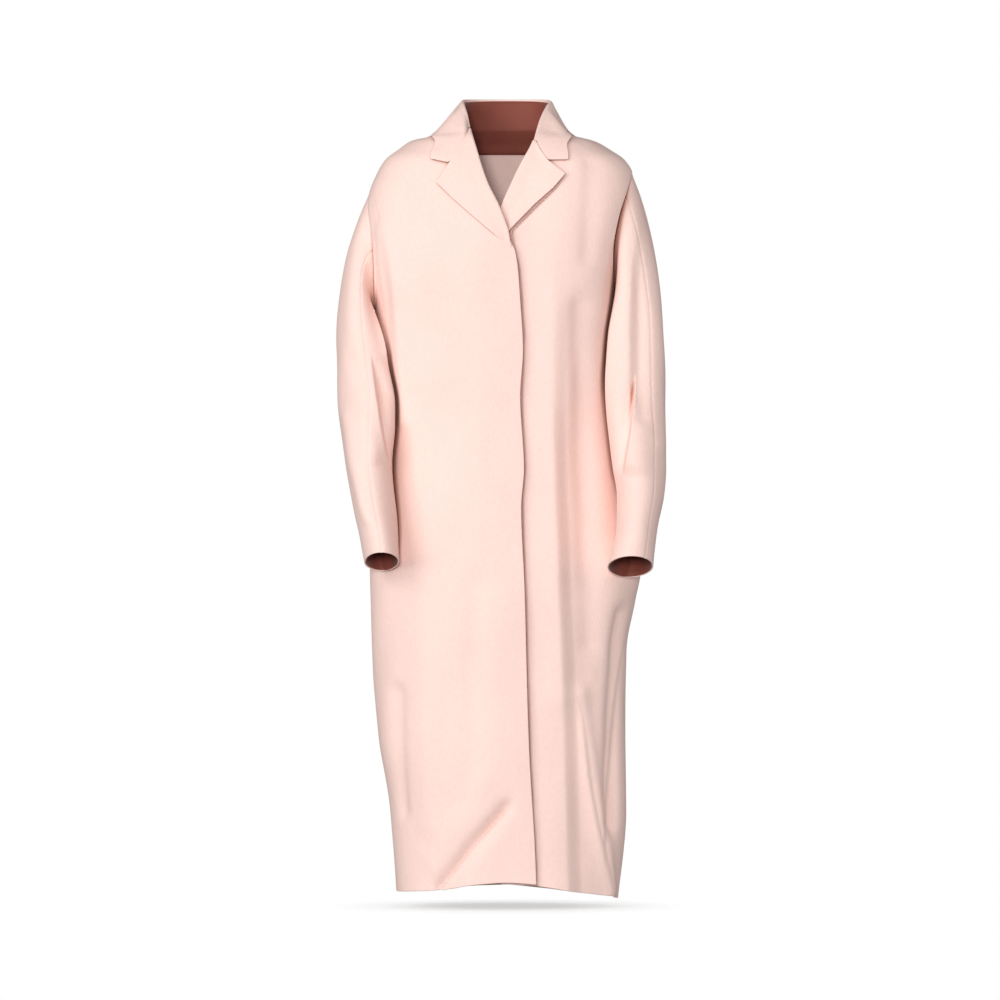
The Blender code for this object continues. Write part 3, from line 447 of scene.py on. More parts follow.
WOOL_SHADER = {
    "Roughness": 0.92,
    "Specular IOR Level": 0.18,
    "Sheen Weight": 0.12,
    "Sheen Roughness": 0.55,
    "Sheen Tint": (1.0, 0.86, 0.80, 1),
}
LINING_AND_SHADE_SHADER = {"Roughness": 0.62, "Specular IOR Level": 0.25, "Sheen Weight": 0.1}

# The studio. The camera looks along +Y, and the lights point at the middle of the coat.
SENSOR = 36.0
CAMERA_DISTANCE = 14.0
CAMERA_REACH = 60
VIEW_WIDTH = 1.5455
VIEW_CENTRE = (-0.011, -0.564)
WHITE = (1, 1, 1, 1)
WORLD_LIGHT = 0.26
LIGHT_TARGET = (0, 0, -0.5)
Light = namedtuple("Light", "name place size power")
LIGHTS = [
    Light("key", (-3.6, -4.2, 1.3), 3.2, 165),
    Light("front", (-0.5, -9.0, 0.2), 1.2, 425),
    Light("fill", (5.0, 0.3, 0.3), 1.5, 40),
]
FLOOR_HEIGHT = -1.192
FLOOR_COLUMNS = 64
FLOOR_RINGS = (0.2, 0.4, 0.6, 0.8)
FLOOR_FADE = {"From Min": 0.05, "From Max": 0.30, "To Min": 0.45, "To Max": 0.0}
FLOOR_SHADER = {"Base Color": (0.98, 0.98, 0.98, 1), "Roughness": 0.9, "Specular IOR Level": 0.0}


# ---- the body's form


def column(table, name):
    return np.array([getattr(row, name) for row in table], float)


def sizes_at(table, height):
    """Every column of a table but its heights, read at this height."""
    knots = column(table, "height")
    return {name: smooth(knots, column(table, name), height) for name in table[0]._fields[1:]}


def curve_between(start, leave, end, arrive, t):
    """A curve from start to end that sets out along one way and comes in along the other."""
    first = start * (1 + 2 * t) * (1 - t) ** 2 + leave * t * (1 - t) ** 2
    return first + (end * t**2 * (3 - 2 * t) + arrive * t**2 * (t - 1))


def smooth(knots, values, at):
    """A curve through the values that rises and falls only where they do."""
    if knots[0] > knots[-1]:
        knots, values = knots[::-1], values[::-1]
    steps = np.diff(knots)
    slopes = np.diff(values) / steps
    same_way = slopes[:-1] * slopes[1:]
    total = slopes[:-1] + slopes[1:]
    inner = np.where(same_way > 0, 2 * same_way / np.where(total == 0, 1, total), 0)
    tangents = np.concatenate([slopes[:1], inner, slopes[-1:]])
    at = np.clip(at, knots[0], knots[-1])
    place = np.clip(np.searchsorted(knots, at) - 1, 0, len(steps) - 1)
    step = steps[place]
    ways = tangents[place] * step, tangents[place + 1] * step
    t = (at - knots[place]) / step
    return curve_between(values[place], ways[0], values[place + 1], ways[1], t)


def ease(start, end, at):
    """0 at start and before, 1 at end and after, with soft ends."""
    t = np.clip((at - start) / (end - start), 0, 1)
    return t * t * (3 - 2 * t)


def unit(vectors):
    return vectors / np.maximum(np.linalg.norm(vectors, axis=-1, keepdims=True), 1e-12)


def body_radius(angle, height):
    across, along = np.sin(angle), np.cos(angle)
    size = sizes_at(BODY, height)
    half_width = np.where(across < 0, size["right"], size["left"])
    depth = np.where(along > 0, size["front"], size["back"])
    power = size["square"]
    return (np.abs(across / half_width) ** power + np.abs(along / depth) ** power) ** (-1 / power)


def angle_at(x, height, face="front"):
    """The angle round the body at which its surface is this far from the centre plane."""
    x, height = np.broadcast_arrays(np.asarray(x, float), np.asarray(height, float))
    low, high = np.full(x.shape, -np.pi / 2), np.full(x.shape, np.pi / 2)
    for _ in range(HALVINGS):
        middle = (low + high) / 2
        angle = middle if face == "front" else np.pi - middle
        too_far = body_radius(angle, height) * np.sin(angle) > x
        high = np.where(too_far, middle, high)
        low = np.where(too_far, low, middle)
    return middle if face == "front" else np.pi - middle


def turn_between(angle, centre):
    return (angle - centre + np.pi) % (2 * np.pi) - np.pi


def beside_stretch(across, height, start, end):
    """How far each place is from a straight stretch, its share along it, and on which side."""
    run, rise = end[0] - start[0], end[1] - start[1]
    share = ((across - start[0]) * run + (height - start[1]) * rise) / (run**2 + rise**2)
    share = np.clip(share, 0, 1)
    away = np.hypot(across - start[0] - share * run, height - start[1] - share * rise)
    return away, share, run * (height - start[1]) - rise * (across - start[0])


def stretch_distance(angle, height, start, end):
    """How far each place on the body is from a straight stretch between two places on it."""
    middle = (start[0] + end[0]) / 2
    across = turn_between(angle, middle) * GIRTH_RADIUS
    ends = [((place[0] - middle) * GIRTH_RADIUS, place[1]) for place in (start, end)]
    return beside_stretch(across, height, *ends)[0]


@lru_cache(maxsize=None)
def fold_path(fold):
    """Places along the fold, by angle and height, on a curve through its middle one."""
    t = np.linspace(0, 1, FOLD_PIECES + 1)
    weights = [(1 - t) * (1 - 2 * t), 4 * t * (1 - t), t * (2 * t - 1)]
    x = weights[0] * fold.x0 + weights[1] * fold.x1 + weights[2] * fold.x2
    z = weights[0] * fold.z0 + weights[1] * fold.z1 + weights[2] * fold.z2
    return list(zip(angle_at(x, z, fold.face), z))


def fold_relief(angle, height):
    relief = np.zeros(np.broadcast(angle, height).shape)
    for fold in FOLDS:
        places = fold_path(fold)
        pairs = zip(places[:-1], places[1:])
        away = np.min([stretch_distance(angle, height, a, b) for a, b in pairs], axis=0)
        relief = relief + fold.depth * np.exp(-((away / fold.width) ** 2))
    return relief


def front_relief(side, angle, height):
    """How far a front lies out from the body, where the right one laps over the left."""
    low = ease(*LAP_RISE, height)
    if side == RIGHT:
        return OVER_LIFT * low * ease(*np.radians(OVER_DEGREES), angle)
    return -UNDER_DROP * low * ease(*np.radians(UNDER_DEGREES), angle)


def polar_point(angle, radius, height):
    height = np.broadcast_to(height, np.shape(radius))
    return np.stack([radius * np.sin(angle), -radius * np.cos(angle), height], axis=-1)


def body_point(angle, height, side=None):
    radius = body_radius(angle, height) + fold_relief(angle, height)
    if side:
        radius = radius + front_relief(side, angle, height)
    return polar_point(angle, radius, height)


def body_normal(angle, height, side=None):
    """The body's outward direction, from small steps round it and up it."""
    around = body_point(angle + STEP, height, side) - body_point(angle - STEP, height, side)
    up = body_point(angle, height + STEP, side) - body_point(angle, height - STEP, side)
    return unit(np.cross(around, up))


def hem_height(angle):
    degrees = (np.degrees(angle) + 180) % 360 - 180
    return smooth(column(HEM, "degrees"), column(HEM, "height"), degrees)


def edge_x(side, height):
    name = "over" if side == RIGHT else "under"
    return smooth(column(EDGES, "height"), column(EDGES, name), height)


def armhole_place(side, turn):
    """Angle and height on the armhole's edge, turning from the shoulder point forwards."""
    hole = ARMHOLES[side]
    spread = np.radians(np.where(np.sin(turn) > 0, hole.forward, hole.backward))
    angle = side * (np.pi / 2 - spread * np.sin(turn))
    return angle, (hole.top + hole.bottom) / 2 + (hole.top - hole.bottom) / 2 * np.cos(turn)


# ---- creases pressed into the cloth


@lru_cache(maxsize=None)
def crease_path(crease):
    """The crease's line in the front view, as close places on a smooth curve."""
    stops = np.array(crease.stops)
    spacing = np.concatenate([[0], np.cumsum(np.linalg.norm(np.diff(stops, axis=0), axis=1))])
    at = np.linspace(0, spacing[-1], CREASE_PIECES + 1)
    return np.stack([smooth(spacing, stops[:, k], at) for k in (0, 1)], axis=-1)


def crease_relief(crease, across, height):
    """How far the crease moves the cloth: it falls away on one side and comes back softly."""
    path = crease_path(crease)
    nearest = np.full(across.shape, np.inf)
    signed, share = np.zeros(across.shape), np.zeros(across.shape)
    for k in range(CREASE_PIECES):
        away, t, turn = beside_stretch(across, height, path[k], path[k + 1])
        closer = away < nearest
        nearest = np.where(closer, away, nearest)
        signed = np.where(closer, np.where(turn >= 0, away, -away), signed)
        share = np.where(closer, (k + t) / CREASE_PIECES, share)
    signed = signed * crease.falls
    strength = smooth(np.array(FULL_SHARES), np.array([crease.start, 1.0, 1.0, crease.end]), share)
    fall = ease(-crease.steep / 2, crease.steep / 2, signed)
    back = np.exp(-((np.maximum(signed, 0) / crease.wide) ** 2))
    ridge = np.exp(-((signed / (LIFT_SPREAD * crease.wide)) ** 2))
    return strength * (crease.lift * ridge * (1 - fall) - crease.depth * fall * back)


def press_creases(piece, points, normals):
    """Moves a piece's points straight forwards or back where its creases cross them."""
    seen = ease(*SEEN_FACING, normals @ FRONT)
    for crease in CREASES:
        if piece in crease.pieces:
            relief = seen * crease_relief(crease, points[..., 0], points[..., 2])
            points = points + FRONT * relief[..., None]
    return points


# ---- cloth from grids of points


Fabric = namedtuple("Fabric", "slot material thickness")


def grid_normals(points, closed=False):
    """Directions across a grid of points, taken from its neighbours."""
    if closed:
        around = np.roll(points, -1, axis=1) - np.roll(points, 1, axis=1)
    else:
        around = np.gradient(points, axis=1)
    return unit(np.cross(np.gradient(points, axis=0), around))


def facing_out(points, normals, centre):
    """The normals, turned if need be so that they point away from a place on the whole."""
    return normals if ((points - centre) * normals).sum() > 0 else -normals


def with_support(points):
    """The grid with a row and a column added close to each edge, to keep the rims crisp."""
    for axis in (0, 1):
        points = np.moveaxis(points, axis, 0)
        first = points[0] + (points[1] - points[0]) * rim_share(points[0], points[1])
        last = points[-1] + (points[-2] - points[-1]) * rim_share(points[-1], points[-2])
        points = np.concatenate([points[:1], first[None], points[1:-1], last[None], points[-1:]])
        points = np.moveaxis(points, 0, axis)
    return points


def rim_share(edge, beside):
    length = np.linalg.norm(beside - edge, axis=-1, keepdims=True)
    return np.clip(RIM_SUPPORT / np.maximum(length, 1e-6), *RIM_SHARES)


def rim_walk(rows, columns):
    """The grid's edge places in order round it."""
    walk = [(0, j) for j in range(columns - 1)]
    walk += [(i, columns - 1) for i in range(rows - 1)]
    walk += [(rows - 1, j) for j in range(columns - 1, 0, -1)]
    walk += [(i, 0) for i in range(rows - 1, 0, -1)]
    return walk


def grid_faces(rows, columns, offset, closed):
    i, j = np.meshgrid(np.arange(rows - 1), np.arange(columns if closed else columns - 1), indexing="ij")
    k = (j + 1) % columns
    corners = [i * columns + j, i * columns + k, (i + 1) * columns + k, (i + 1) * columns + j]
    return np.stack(corners, axis=-1).reshape(-1, 4) + offset


def add_object(name, data, place=(0, 0, 0)):
    made = bpy.data.objects.new(name, data)
    made.location = place
    bpy.context.scene.collection.objects.link(made)
    return made


def add_mesh(name, points, faces, material):
    mesh = bpy.data.meshes.new(name)
    mesh.from_pydata(points.tolist(), [], faces)
    mesh.update()
    mesh.materials.append(material)
    return add_object(name, mesh)


def cloth(name, points, normals, fabric, closed):
    """A thin shell of cloth with rounded edges: points lie on its face, normals point out."""
    rows, columns = points.shape[:2]
    count = rows * columns
    under = points - normals * fabric.thickness
    faces = [grid_faces(rows, columns, 0, closed), grid_faces(rows, columns, count, closed)[:, ::-1]]
    if closed:
        loops = [[(0, j) for j in range(columns)], [(rows - 1, j) for j in range(columns)][::-1]]
    else:
        loops = [rim_walk(rows, columns)]
    rims, start = [], 2 * count
    for loop in loops:
        i, j = np.array(loop).T
        inner_i, inner_j = np.clip(i, 1, rows - 2), j if closed else np.clip(j, 1, columns - 2)
        outward = unit(points[i, j] - points[inner_i, inner_j])
        rims.append((points[i, j] + under[i, j]) / 2 + outward * fabric.thickness * RIM_ROUND)
        face, rim = i * columns + j, start + np.arange(len(i))
        nexts = np.roll(np.arange(len(i)), -1)
        faces.append(np.stack([face, rim, rim[nexts], face[nexts]], axis=-1))
        faces.append(np.stack([rim, face + count, face[nexts] + count, rim[nexts]], axis=-1))
        start += len(i)
    vertices = np.concatenate([points.reshape(-1, 3), under.reshape(-1, 3), *rims])
    faces = np.concatenate(faces)
    piece = add_mesh(name, vertices, faces.tolist(), fabric.material)
    corners = vertices[faces[:, :3]]
    if np.einsum("ij,ij->i", corners[:, 0], np.cross(corners[:, 1], corners[:, 2])).sum() < 0:
        piece.data.flip_normals()
    piece.data.shade_smooth()
    return piece


def sew(label, grid, fabric, closed=False):
    """Makes a piece of cloth from its points and normals, named as the solid it stands for, puts it on
    the root body and hides that solid.
    """
    piece = cloth(label, *grid, fabric, closed)
    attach(piece, "root")
    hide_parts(label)


def edge_distance(points, edge):
    """How far each point of a grid is from one of its edges, along the cloth."""
    axis = 0 if edge in ("top", "bottom") else 1
    steps = np.linalg.norm(np.diff(points, axis=axis), axis=-1)
    run = np.cumsum(steps, axis=axis)
    zero = np.zeros_like(np.take(run, [0], axis=axis))
    run = np.concatenate([zero, run], axis=axis)
    if edge in ("bottom", "end"):
        run = np.take(run, [-1], axis=axis) - run
    return run


def seam_dip(points, edges):
    """The soft groove along the edges that are sewn."""
    dip = np.zeros(points.shape[:-1])
    for edge in edges:
        dip = np.maximum(dip, np.exp(-((edge_distance(points, edge) / SEAM_WIDTH) ** 2)))
    return dip * SEAM_DEPTH


# ---- the panels


def panel_rows():
    """For each row of a panel: its part of the body, its share of that part, and its turn."""
    above = np.arange(SHOULDER_ROWS) / SHOULDER_ROWS
    level = np.linspace(0, 1, ARMHOLE_ROWS + 1)
    turns = (np.pi * level + np.arccos(1 - 2 * level)) / 2
    below = np.arange(1, SKIRT_ROWS + 1) / SKIRT_ROWS
    shoulder = [("shoulder", share, 0.0) for share in above**SHOULDER_CROWDING]
    armhole = [("armhole", 0.0, turn) for turn in turns]
    return shoulder + armhole + [("skirt", share, np.pi) for share in below]


def row_height(side, part, share, turn, angle, top):
    hole = ARMHOLES[side]
    if part == "shoulder":
        return top + (hole.top - top) * share
    if part == "armhole":
        return np.full(np.shape(angle), armhole_place(side, turn)[1])
    return hole.bottom + (hem_height(angle) - hole.bottom) * share


def outer_angle(side, part, turn, face):
    """Where a row ends: at the shoulder seam, the armhole or the side seam."""
    forwards = 1 if face == "front" else -1
    if part == "armhole":
        return float(armhole_place(side, forwards * turn)[0])
    return side * np.pi / 2


def dip_way(normals):
    """The way a groove stands open: more toward the front than the cloth faces."""
    toward = ease(*DIP_FACING, -normals[..., 1:2]) * DIP_FORWARD
    return unit(normals + toward * FRONT)


def armhole_dip(side, turn):
    """How deep the cloth is drawn in at the armhole, by its place round it."""
    front, back = ARMHOLE_DIPS[side]
    return SEAM_DEPTH + np.where(np.sin(turn) > 0, front, back) * np.abs(np.sin(turn)) ** DIP_ROUND


def front_panel(side):
    """The grid of a front, as angles and heights, from its free edge to its seams."""
    angles, heights = [], []
    share_across = np.linspace(0, 1, FRONT_COLUMNS + 1)
    top = NECK_HEIGHT - NECK_DIP * (1 - share_across)
    for part, share, turn in panel_rows():
        end = outer_angle(side, part, turn, "front")
        guess = row_height(side, part, share, turn, share_across * end, top)
        setback = EDGE_SETBACK * ease(*SETBACK_RISE, guess[0])
        setback += GORGE_SETBACK * ease(*GORGE_RISE, guess[0])
        start = angle_at(edge_x(side, guess[0]) + side * setback, guess[0])
        seam = side * np.pi / 2
        angle = start + (seam - start) * share_across + (end - seam) * share_across**SEAM_CROWDING
        angles.append(angle)
        heights.append(row_height(side, part, share, turn, angle, top))
    heights = np.array(heights)
    if side == LEFT:
        low = ease(*UNDER_DIP_ROWS, np.linspace(0, 1, len(heights)))[:, None]
        heights -= UNDER_DIP * (1 - share_across) * low
    return np.array(angles), heights


def back_panel():
    """The grid of the back, from the wearer's left side round to the right."""
    angles, heights = [], []
    share_across = np.linspace(0, 1, BACK_COLUMNS + 1)
    toward_right = ease(0, 1, share_across)
    for part, share, turn in panel_rows():
        start = outer_angle(LEFT, part, turn, "back")
        end = outer_angle(RIGHT, part, turn, "back") + 2 * np.pi
        angle = np.pi / 2 + np.pi * share_across + (end - 3 * np.pi / 2) * share_across**SEAM_CROWDING
        angle += (start - np.pi / 2) * (1 - share_across) ** SEAM_CROWDING
        left = row_height(LEFT, part, share, turn, angle, NECK_HEIGHT)
        right = row_height(RIGHT, part, share, turn, angle, NECK_HEIGHT)
        angles.append(angle)
        heights.append(left + (right - left) * toward_right)
    return np.array(angles), np.array(heights)


def soft_waver(points, normals):
    """The slight unevenness of a pressed and worn cloth."""
    x, y, z = points[..., 0], points[..., 1], points[..., 2]
    waver = np.zeros(points.shape[:-1])
    for row in WAVERS:
        waver += row.depth * np.sin(x * row.x + y * row.y + z * row.z + row.phase)
    return points + normals * waver[..., None]


def finish_grid(name, points, sides):
    """Presses the creases and seams into a panel's grid, and gives its last normals."""
    sewn = [edge for edge, _, _ in sides]
    dips = panel_dips(points, sides, sewn)
    normals = facing_out(points, grid_normals(points), MIDDLE)
    held = away_from(points, sewn)
    points = points + (press_creases(name, points, normals) - points) * held
    points = points + (soft_waver(points, normals) - points) * held
    points = with_support(points - dip_way(normals) * dips[..., None])
    return points, facing_out(points, grid_normals(points), MIDDLE)


def away_from(points, edges):
    """0 at the sewn edges, where the cloth can't move, and 1 a little way in."""
    away = np.ones(points.shape[:-1])
    for edge in edges:
        away = away * ease(0, SEAM_HOLD, edge_distance(points, edge))
    return away[..., None]


def panel_dips(points, sides, edges):
    """Grooves at a panel's sewn edges, deeper along the front of each armhole."""
    dips = seam_dip(points, edges)
    turns = np.array([turn for _, _, turn in panel_rows()])
    for edge, side, forwards in sides:
        depth = armhole_dip(side, forwards * turns)[:, None]
        dips = np.maximum(dips, depth * (1 - ease(0, ARMHOLE_ROLL[side], edge_distance(points, edge))))
    return dips


def make_panels(wool):
    grid = finish_grid("back", body_point(*back_panel()), [("start", LEFT, -1), ("end", RIGHT, -1)])
    sew("back", grid, wool)
    for side, name in SIDES:
        label = f"front_{name}"
        grid = finish_grid(label, body_point(*front_panel(side), side), [("end", side, 1)])
        sew(label, grid, wool)


# ---- the sleeves


def clear_of_body(points, lift):
    """Moves points out along the body's normal until they lie this far above it."""
    for soft in PUSH_SOFTNESS:
        angle = np.arctan2(points[..., 0], -points[..., 1])
        height = points[..., 2]
        radius = body_radius(angle, height) + fold_relief(angle, height)
        slope = (body_radius(angle, height + STEP) - body_radius(angle, height - STEP)) / (2 * STEP)
        steep = np.sqrt(1 + slope**2)
        missing = lift - (np.hypot(points[..., 0], points[..., 1]) - radius) / steep
        push = 0.5 * (missing + np.sqrt(missing**2 + soft**2))
        push = np.where(height > BODY[0].height, 0, push)
        way = polar_point(angle, np.ones_like(slope), -slope) / steep[..., None]
        points = points + way * push[..., None]
    return points


def sleeve_relief(side, turn, height):
    relief = 0.0
    for fold in SLEEVE_FOLDS[side]:
        start = (np.radians(fold.degrees0) * SLEEVE_RADIUS, fold.height0)
        end = (np.radians(fold.degrees1) * SLEEVE_RADIUS, fold.height1)
        away = beside_stretch(turn * SLEEVE_RADIUS, height, start, end)[0]
        relief = relief + fold.depth * np.exp(-((away / fold.width) ** 2))
    return relief


def ring_point(side, turn, height):
    size = sizes_at(SLEEVES[side], height)
    centre_x, centre_y = (size["outer"] + size["inner"]) / 2, (size["front"] + size["back"]) / 2
    half_x, half_y = (size["outer"] - size["inner"]) / 2, (size["back"] - size["front"]) / 2
    relief = sleeve_relief(side, turn, height)
    x = side * (centre_x + (half_x + relief) * np.cos(turn))
    y = centre_y - (half_y + relief) * np.sin(turn)
    return np.stack([x, y, height + size["tilt"] * (centre_y - y)], axis=-1)


def sleeve_point(side, turn, along):
    """A point of a sleeve: along runs from 0 at the armhole past 1 under it to 2 at the cuff."""
    rings = SLEEVES[side]
    top, cuff = rings[0].height, rings[-1].height
    tube = ring_point(side, turn, top + (cuff - top) * np.clip(along - 1, 0, 1))
    first = ring_point(side, turn, np.full(np.shape(turn), top))
    second = ring_point(side, turn, np.full(np.shape(turn), top - CAP_STEP))
    angle, height = armhole_place(side, turn)
    start = body_point(angle, height)
    inward = unit(np.stack([0 * turn, 0 * turn, (ARMHOLES[side].bottom - height)], axis=-1))
    start = start - dip_way(body_normal(angle, height)) * armhole_dip(side, turn)[..., None]
    length = np.linalg.norm(first - start, axis=-1, keepdims=True)
    over = (0.5 + 0.5 * np.cos(turn))[..., None] ** CAP_ROUND
    forward = CAP_FORWARD[side] * np.maximum(np.sin(turn), 0)
    outward = np.stack([np.full(np.shape(turn), float(side)), -forward, 0 * turn], axis=-1)
    leave = unit(outward + inward * CAP_PULL[side] * over) * length
    leave = leave * (CAP_UNDER + CAP_OVER * over)
    arrive = unit(second - first) * length * CAP_ARRIVE
    cap = curve_between(start, leave, first, arrive, np.clip(along, 0, 1)[..., None])
    points = np.where(along[..., None] <= 1, cap, tube)
    cleared = clear_of_body(points, SLEEVE_CLEARANCE)
    return points + (cleared - points) * ease(0.0, CAP_CLEAR_FROM, along)[..., None]


def make_sleeves(wool):
    cap = np.linspace(0, 1, CAP_ROWS + 1) ** CAP_CROWDING
    rows = np.concatenate([cap, np.linspace(1, 2, TUBE_ROWS + 1)[1:]])
    for side, name in SIDES:
        seam = OVERARM_SEAM[side]
        for part, start in (("top", seam - 180), ("under", seam)):
            label = f"sleeve_{part}_{name}"
            turns = np.radians(np.linspace(start, start + 180, SLEEVE_COLUMNS + 1))
            points = sleeve_point(side, *np.meshgrid(turns, rows))
            grid = finish_sleeve(label, points, sleeve_axis(side, rows)[:, None], rows)
            sew(label, grid, wool)


def sleeve_axis(side, rows):
    """The middle of each row of a sleeve."""
    turns = np.linspace(0, 2 * np.pi, AXIS_COLUMNS, endpoint=False)
    return sleeve_point(side, *np.meshgrid(turns, rows)).mean(axis=1)


def calmed(points, share):
    """The grid with its points moved by this share toward the middle of their neighbours."""
    for _ in range(CALM_PASSES):
        for axis in (0, 1):
            lines, weight = np.moveaxis(points, axis, 0).copy(), np.moveaxis(share, axis, 0)
            middle = (lines[:-2] + 2 * lines[1:-1] + lines[2:]) / 4
            lines[1:-1] += (middle - lines[1:-1]) * weight[1:-1]
            points = np.moveaxis(lines, 0, axis)
    return points


def finish_sleeve(name, points, middle, rows):
    """Presses the creases and seams into a sleeve's grid, and gives its last normals."""
    normals = facing_out(points, grid_normals(points), middle)
    held = away_from(points, ("top",))
    moved = press_creases(name, points, unit(points - middle))
    moved = soft_waver(moved, normals)
    push = clear_of_body(moved, LEAST_CLEARANCE) - moved
    pushed = np.linalg.norm(push, axis=-1, keepdims=True)
    moved = moved + push * ease(0.0, CAP_CLEAR_FROM, rows)[:, None, None]
    moved = calmed(moved, ease(*PUSH_CALMED, pushed))
    moved = points + (moved - points) * held
    moved = moved - normals * seam_dip(points, ("start", "end"))[..., None]
    same = (normals * grid_normals(moved)).sum() > 0
    moved = with_support(moved)
    final = grid_normals(moved)
    return moved, final if same else -final


# ---- the turned-out pieces


def front_surface(side, x, height, lift):
    """A point a little way out from a front, at this place in the front view."""
    angle = angle_at(x, height)
    return body_point(angle, height, side) + body_normal(angle, height, side) * lift[..., None]


def crest_profile(radius):
    """Distance in from the roll line and lift above the front, from beneath round to the top."""
    bends = np.radians(np.linspace(-90, 90, CREST_STEPS + 1))
    inward = radius[:, None] * (1 - np.cos(bends))
    lift = radius[:, None] * (np.sin(bends) + 1) - WALL
    foot = np.full((len(radius), 1), EDGE_SETBACK - LAPEL_FOOT_GAP)
    return np.concatenate([foot, inward], axis=1), np.concatenate([0 * foot - WALL, lift], axis=1)


def lapel_points(side):
    ribs = LAPELS[side]
    index = np.linspace(0, len(ribs) - 1, (len(ribs) - 1) * RIB_STEPS + 1)
    places = np.arange(len(ribs))
    thin = ease(*LAPEL_THINS, index)
    roll_z = np.interp(index, places, column(ribs, "roll_height"))
    setback = EDGE_SETBACK * ease(*SETBACK_RISE, roll_z)
    roll = np.stack([edge_x(side, roll_z) + side * setback * thin, roll_z], axis=-1)
    edge = [np.interp(index, places, column(ribs, name)) for name in ("edge_x", "edge_z")]
    edge = np.stack(edge, axis=-1)
    way, length = unit(edge - roll), np.linalg.norm(edge - roll, axis=-1)[:, None]
    radius = FOLD_RADIUS + (WALL / 2 - FOLD_RADIUS) * thin
    inward, lift = crest_profile(radius)
    share = np.linspace(0, 1, FLAP_COLUMNS + 1)[1:]
    stands = LAPEL_LIFT + LAPEL_STANDS[side] * ease(LAPEL_STANDS_FROM, 1, share)
    rest = stands + (LAPEL_SUNK - stands) * ease(*LAPEL_SINKS[side], index)[:, None]
    top = lift[:, -1:] + (rest - lift[:, -1:]) * ease(0, LAPEL_SETTLE, share)
    reach = np.concatenate([inward, radius[:, None] + (length - radius[:, None]) * share], axis=1)
    place = roll[:, None] + way[:, None] * reach[..., None]
    return front_surface(side, place[..., 0], place[..., 1], np.concatenate([lift, top], axis=1))


def make_lapels(wool):
    for side, name in SIDES:
        points = with_support(lapel_points(side))
        normals = grid_normals(points)
        normals = normals * -np.sign(normals[:, -FLAP_COLUMNS:, 1].sum())
        sew(f"lapel_{name}", (points, normals), wool)


def collar_frames(index):
    """Along the collar: the roll's top, the outer edge, and the ways up the roll and outwards."""
    places = np.arange(len(COLLAR), dtype=float)
    crest = np.stack([smooth(places, column(COLLAR, n), index) for n in "xyz"], axis=-1)
    degrees = smooth(places, column(COLLAR, "degrees"), index)
    height = smooth(places, column(COLLAR, "height"), index)
    edge_angle = np.radians(degrees)
    edge = body_point(edge_angle, height) + body_normal(edge_angle, height) * COLLAR_LIFT
    course = unit(np.gradient(crest, axis=0))
    up = crest - edge
    up = unit(up - (up * course).sum(axis=-1, keepdims=True) * course)
    out = np.cross(up, course)
    away = np.stack([crest[:, 0], crest[:, 1], 0 * index], axis=-1)
    out = out * np.sign((out * away).sum(axis=-1, keepdims=True))
    return crest, edge, up, out, edge_angle, height


def collar_index():
    return np.linspace(0, len(COLLAR) - 1, (len(COLLAR) - 1) * COLLAR_STEPS + 1)


def gorge_row(side, crest, edge, share):
    """The collar's front end: down the gorge seam to the notch, then out to its point."""
    stops = np.array([[crest[0], crest[2]], NOTCH[side], [edge[0], edge[2]]])
    x, z = (np.interp(share, [0, NOTCH_SHARE, 1], stops[:, k]) for k in (0, 1))
    begins, ends = GORGE_RAMPS
    over = ease(0, begins, share) * (1 - ease(NOTCH_SHARE - ends, NOTCH_SHARE, share))
    return front_surface(side, x, z - GORGE_OVER * over, COLLAR_LIFT - GORGE_SINK * over)


def collar_points():
    index = collar_index()
    crest, edge, up, out, edge_angle, height = collar_frames(index)
    centre = crest - up * FOLD_RADIUS
    bends = np.radians(np.linspace(-90, 90, CREST_STEPS + 1))[None, :, None]
    turn = np.cos(bends) * up[:, None] + np.sin(bends) * out[:, None]
    turn = centre[:, None] + FOLD_RADIUS * turn
    share = np.linspace(0, 1, COLLAR_COLUMNS + 1)[1:]
    start = turn[:, -1]
    length = np.linalg.norm(edge - start, axis=-1)[:, None]
    below = body_point(edge_angle, height - COLLAR_EDGE_STEP) - body_point(edge_angle, height)
    leave, arrive = -up * length, unit(below) * length * COLLAR_ARRIVE
    ends = [ways[:, None] for ways in (start, leave, edge, arrive)]
    fall = curve_between(*ends, share[None, :, None])
    last = len(COLLAR) - 1
    for end, side in ((0, RIGHT), (-1, LEFT)):
        flat = gorge_row(side, crest[end], edge[end], share)
        blend = (1 - ease(0, END_STATIONS, abs(index - last * (end != 0))))[:, None, None]
        fall = fall + (flat - fall[end])[None] * blend
    fall[1:-1] = clear_of_body(fall[1:-1], COLLAR_LIFT)
    return np.concatenate([turn, fall], axis=1)


def make_collar(wool):
    points = with_support(collar_points())
    normals = grid_normals(points)
    normals = normals * np.sign(normals[len(points) // 2, -2, 1])
    sew("collar", (points, normals), wool)


def make_stand(lining):
    """The band from the neck seam up to the start of the collar's roll."""
    index = collar_index()
    crest, _, up, out, _, _ = collar_frames(index)
    keep = (index >= STAND_START) & (index <= len(COLLAR) - 1 - STAND_START)
    top = (crest - up * FOLD_RADIUS - out * FOLD_RADIUS)[keep]
    angle = np.arctan2(top[:, 0], -top[:, 1])
    foot_height = np.full(len(angle), NECK_HEIGHT)
    foot = polar_point(angle, body_radius(angle, foot_height) - WALL, foot_height)
    share = np.linspace(0, 1, STAND_ROWS + 1)[None, :, None]
    points = foot[:, None] + (top - foot)[:, None] * share
    normals = grid_normals(points)
    outward = normals * np.sign(normals[len(points) // 2, 1, 1])
    # The stand is cut from the dark brown lining, partly painted shade inside the neck.
    sew("collar_stand", (points, outward), lining._replace(thickness=WALL))


# ---- the linings, where they show; their dark brown is partly painted shade for the coat's hollow inside


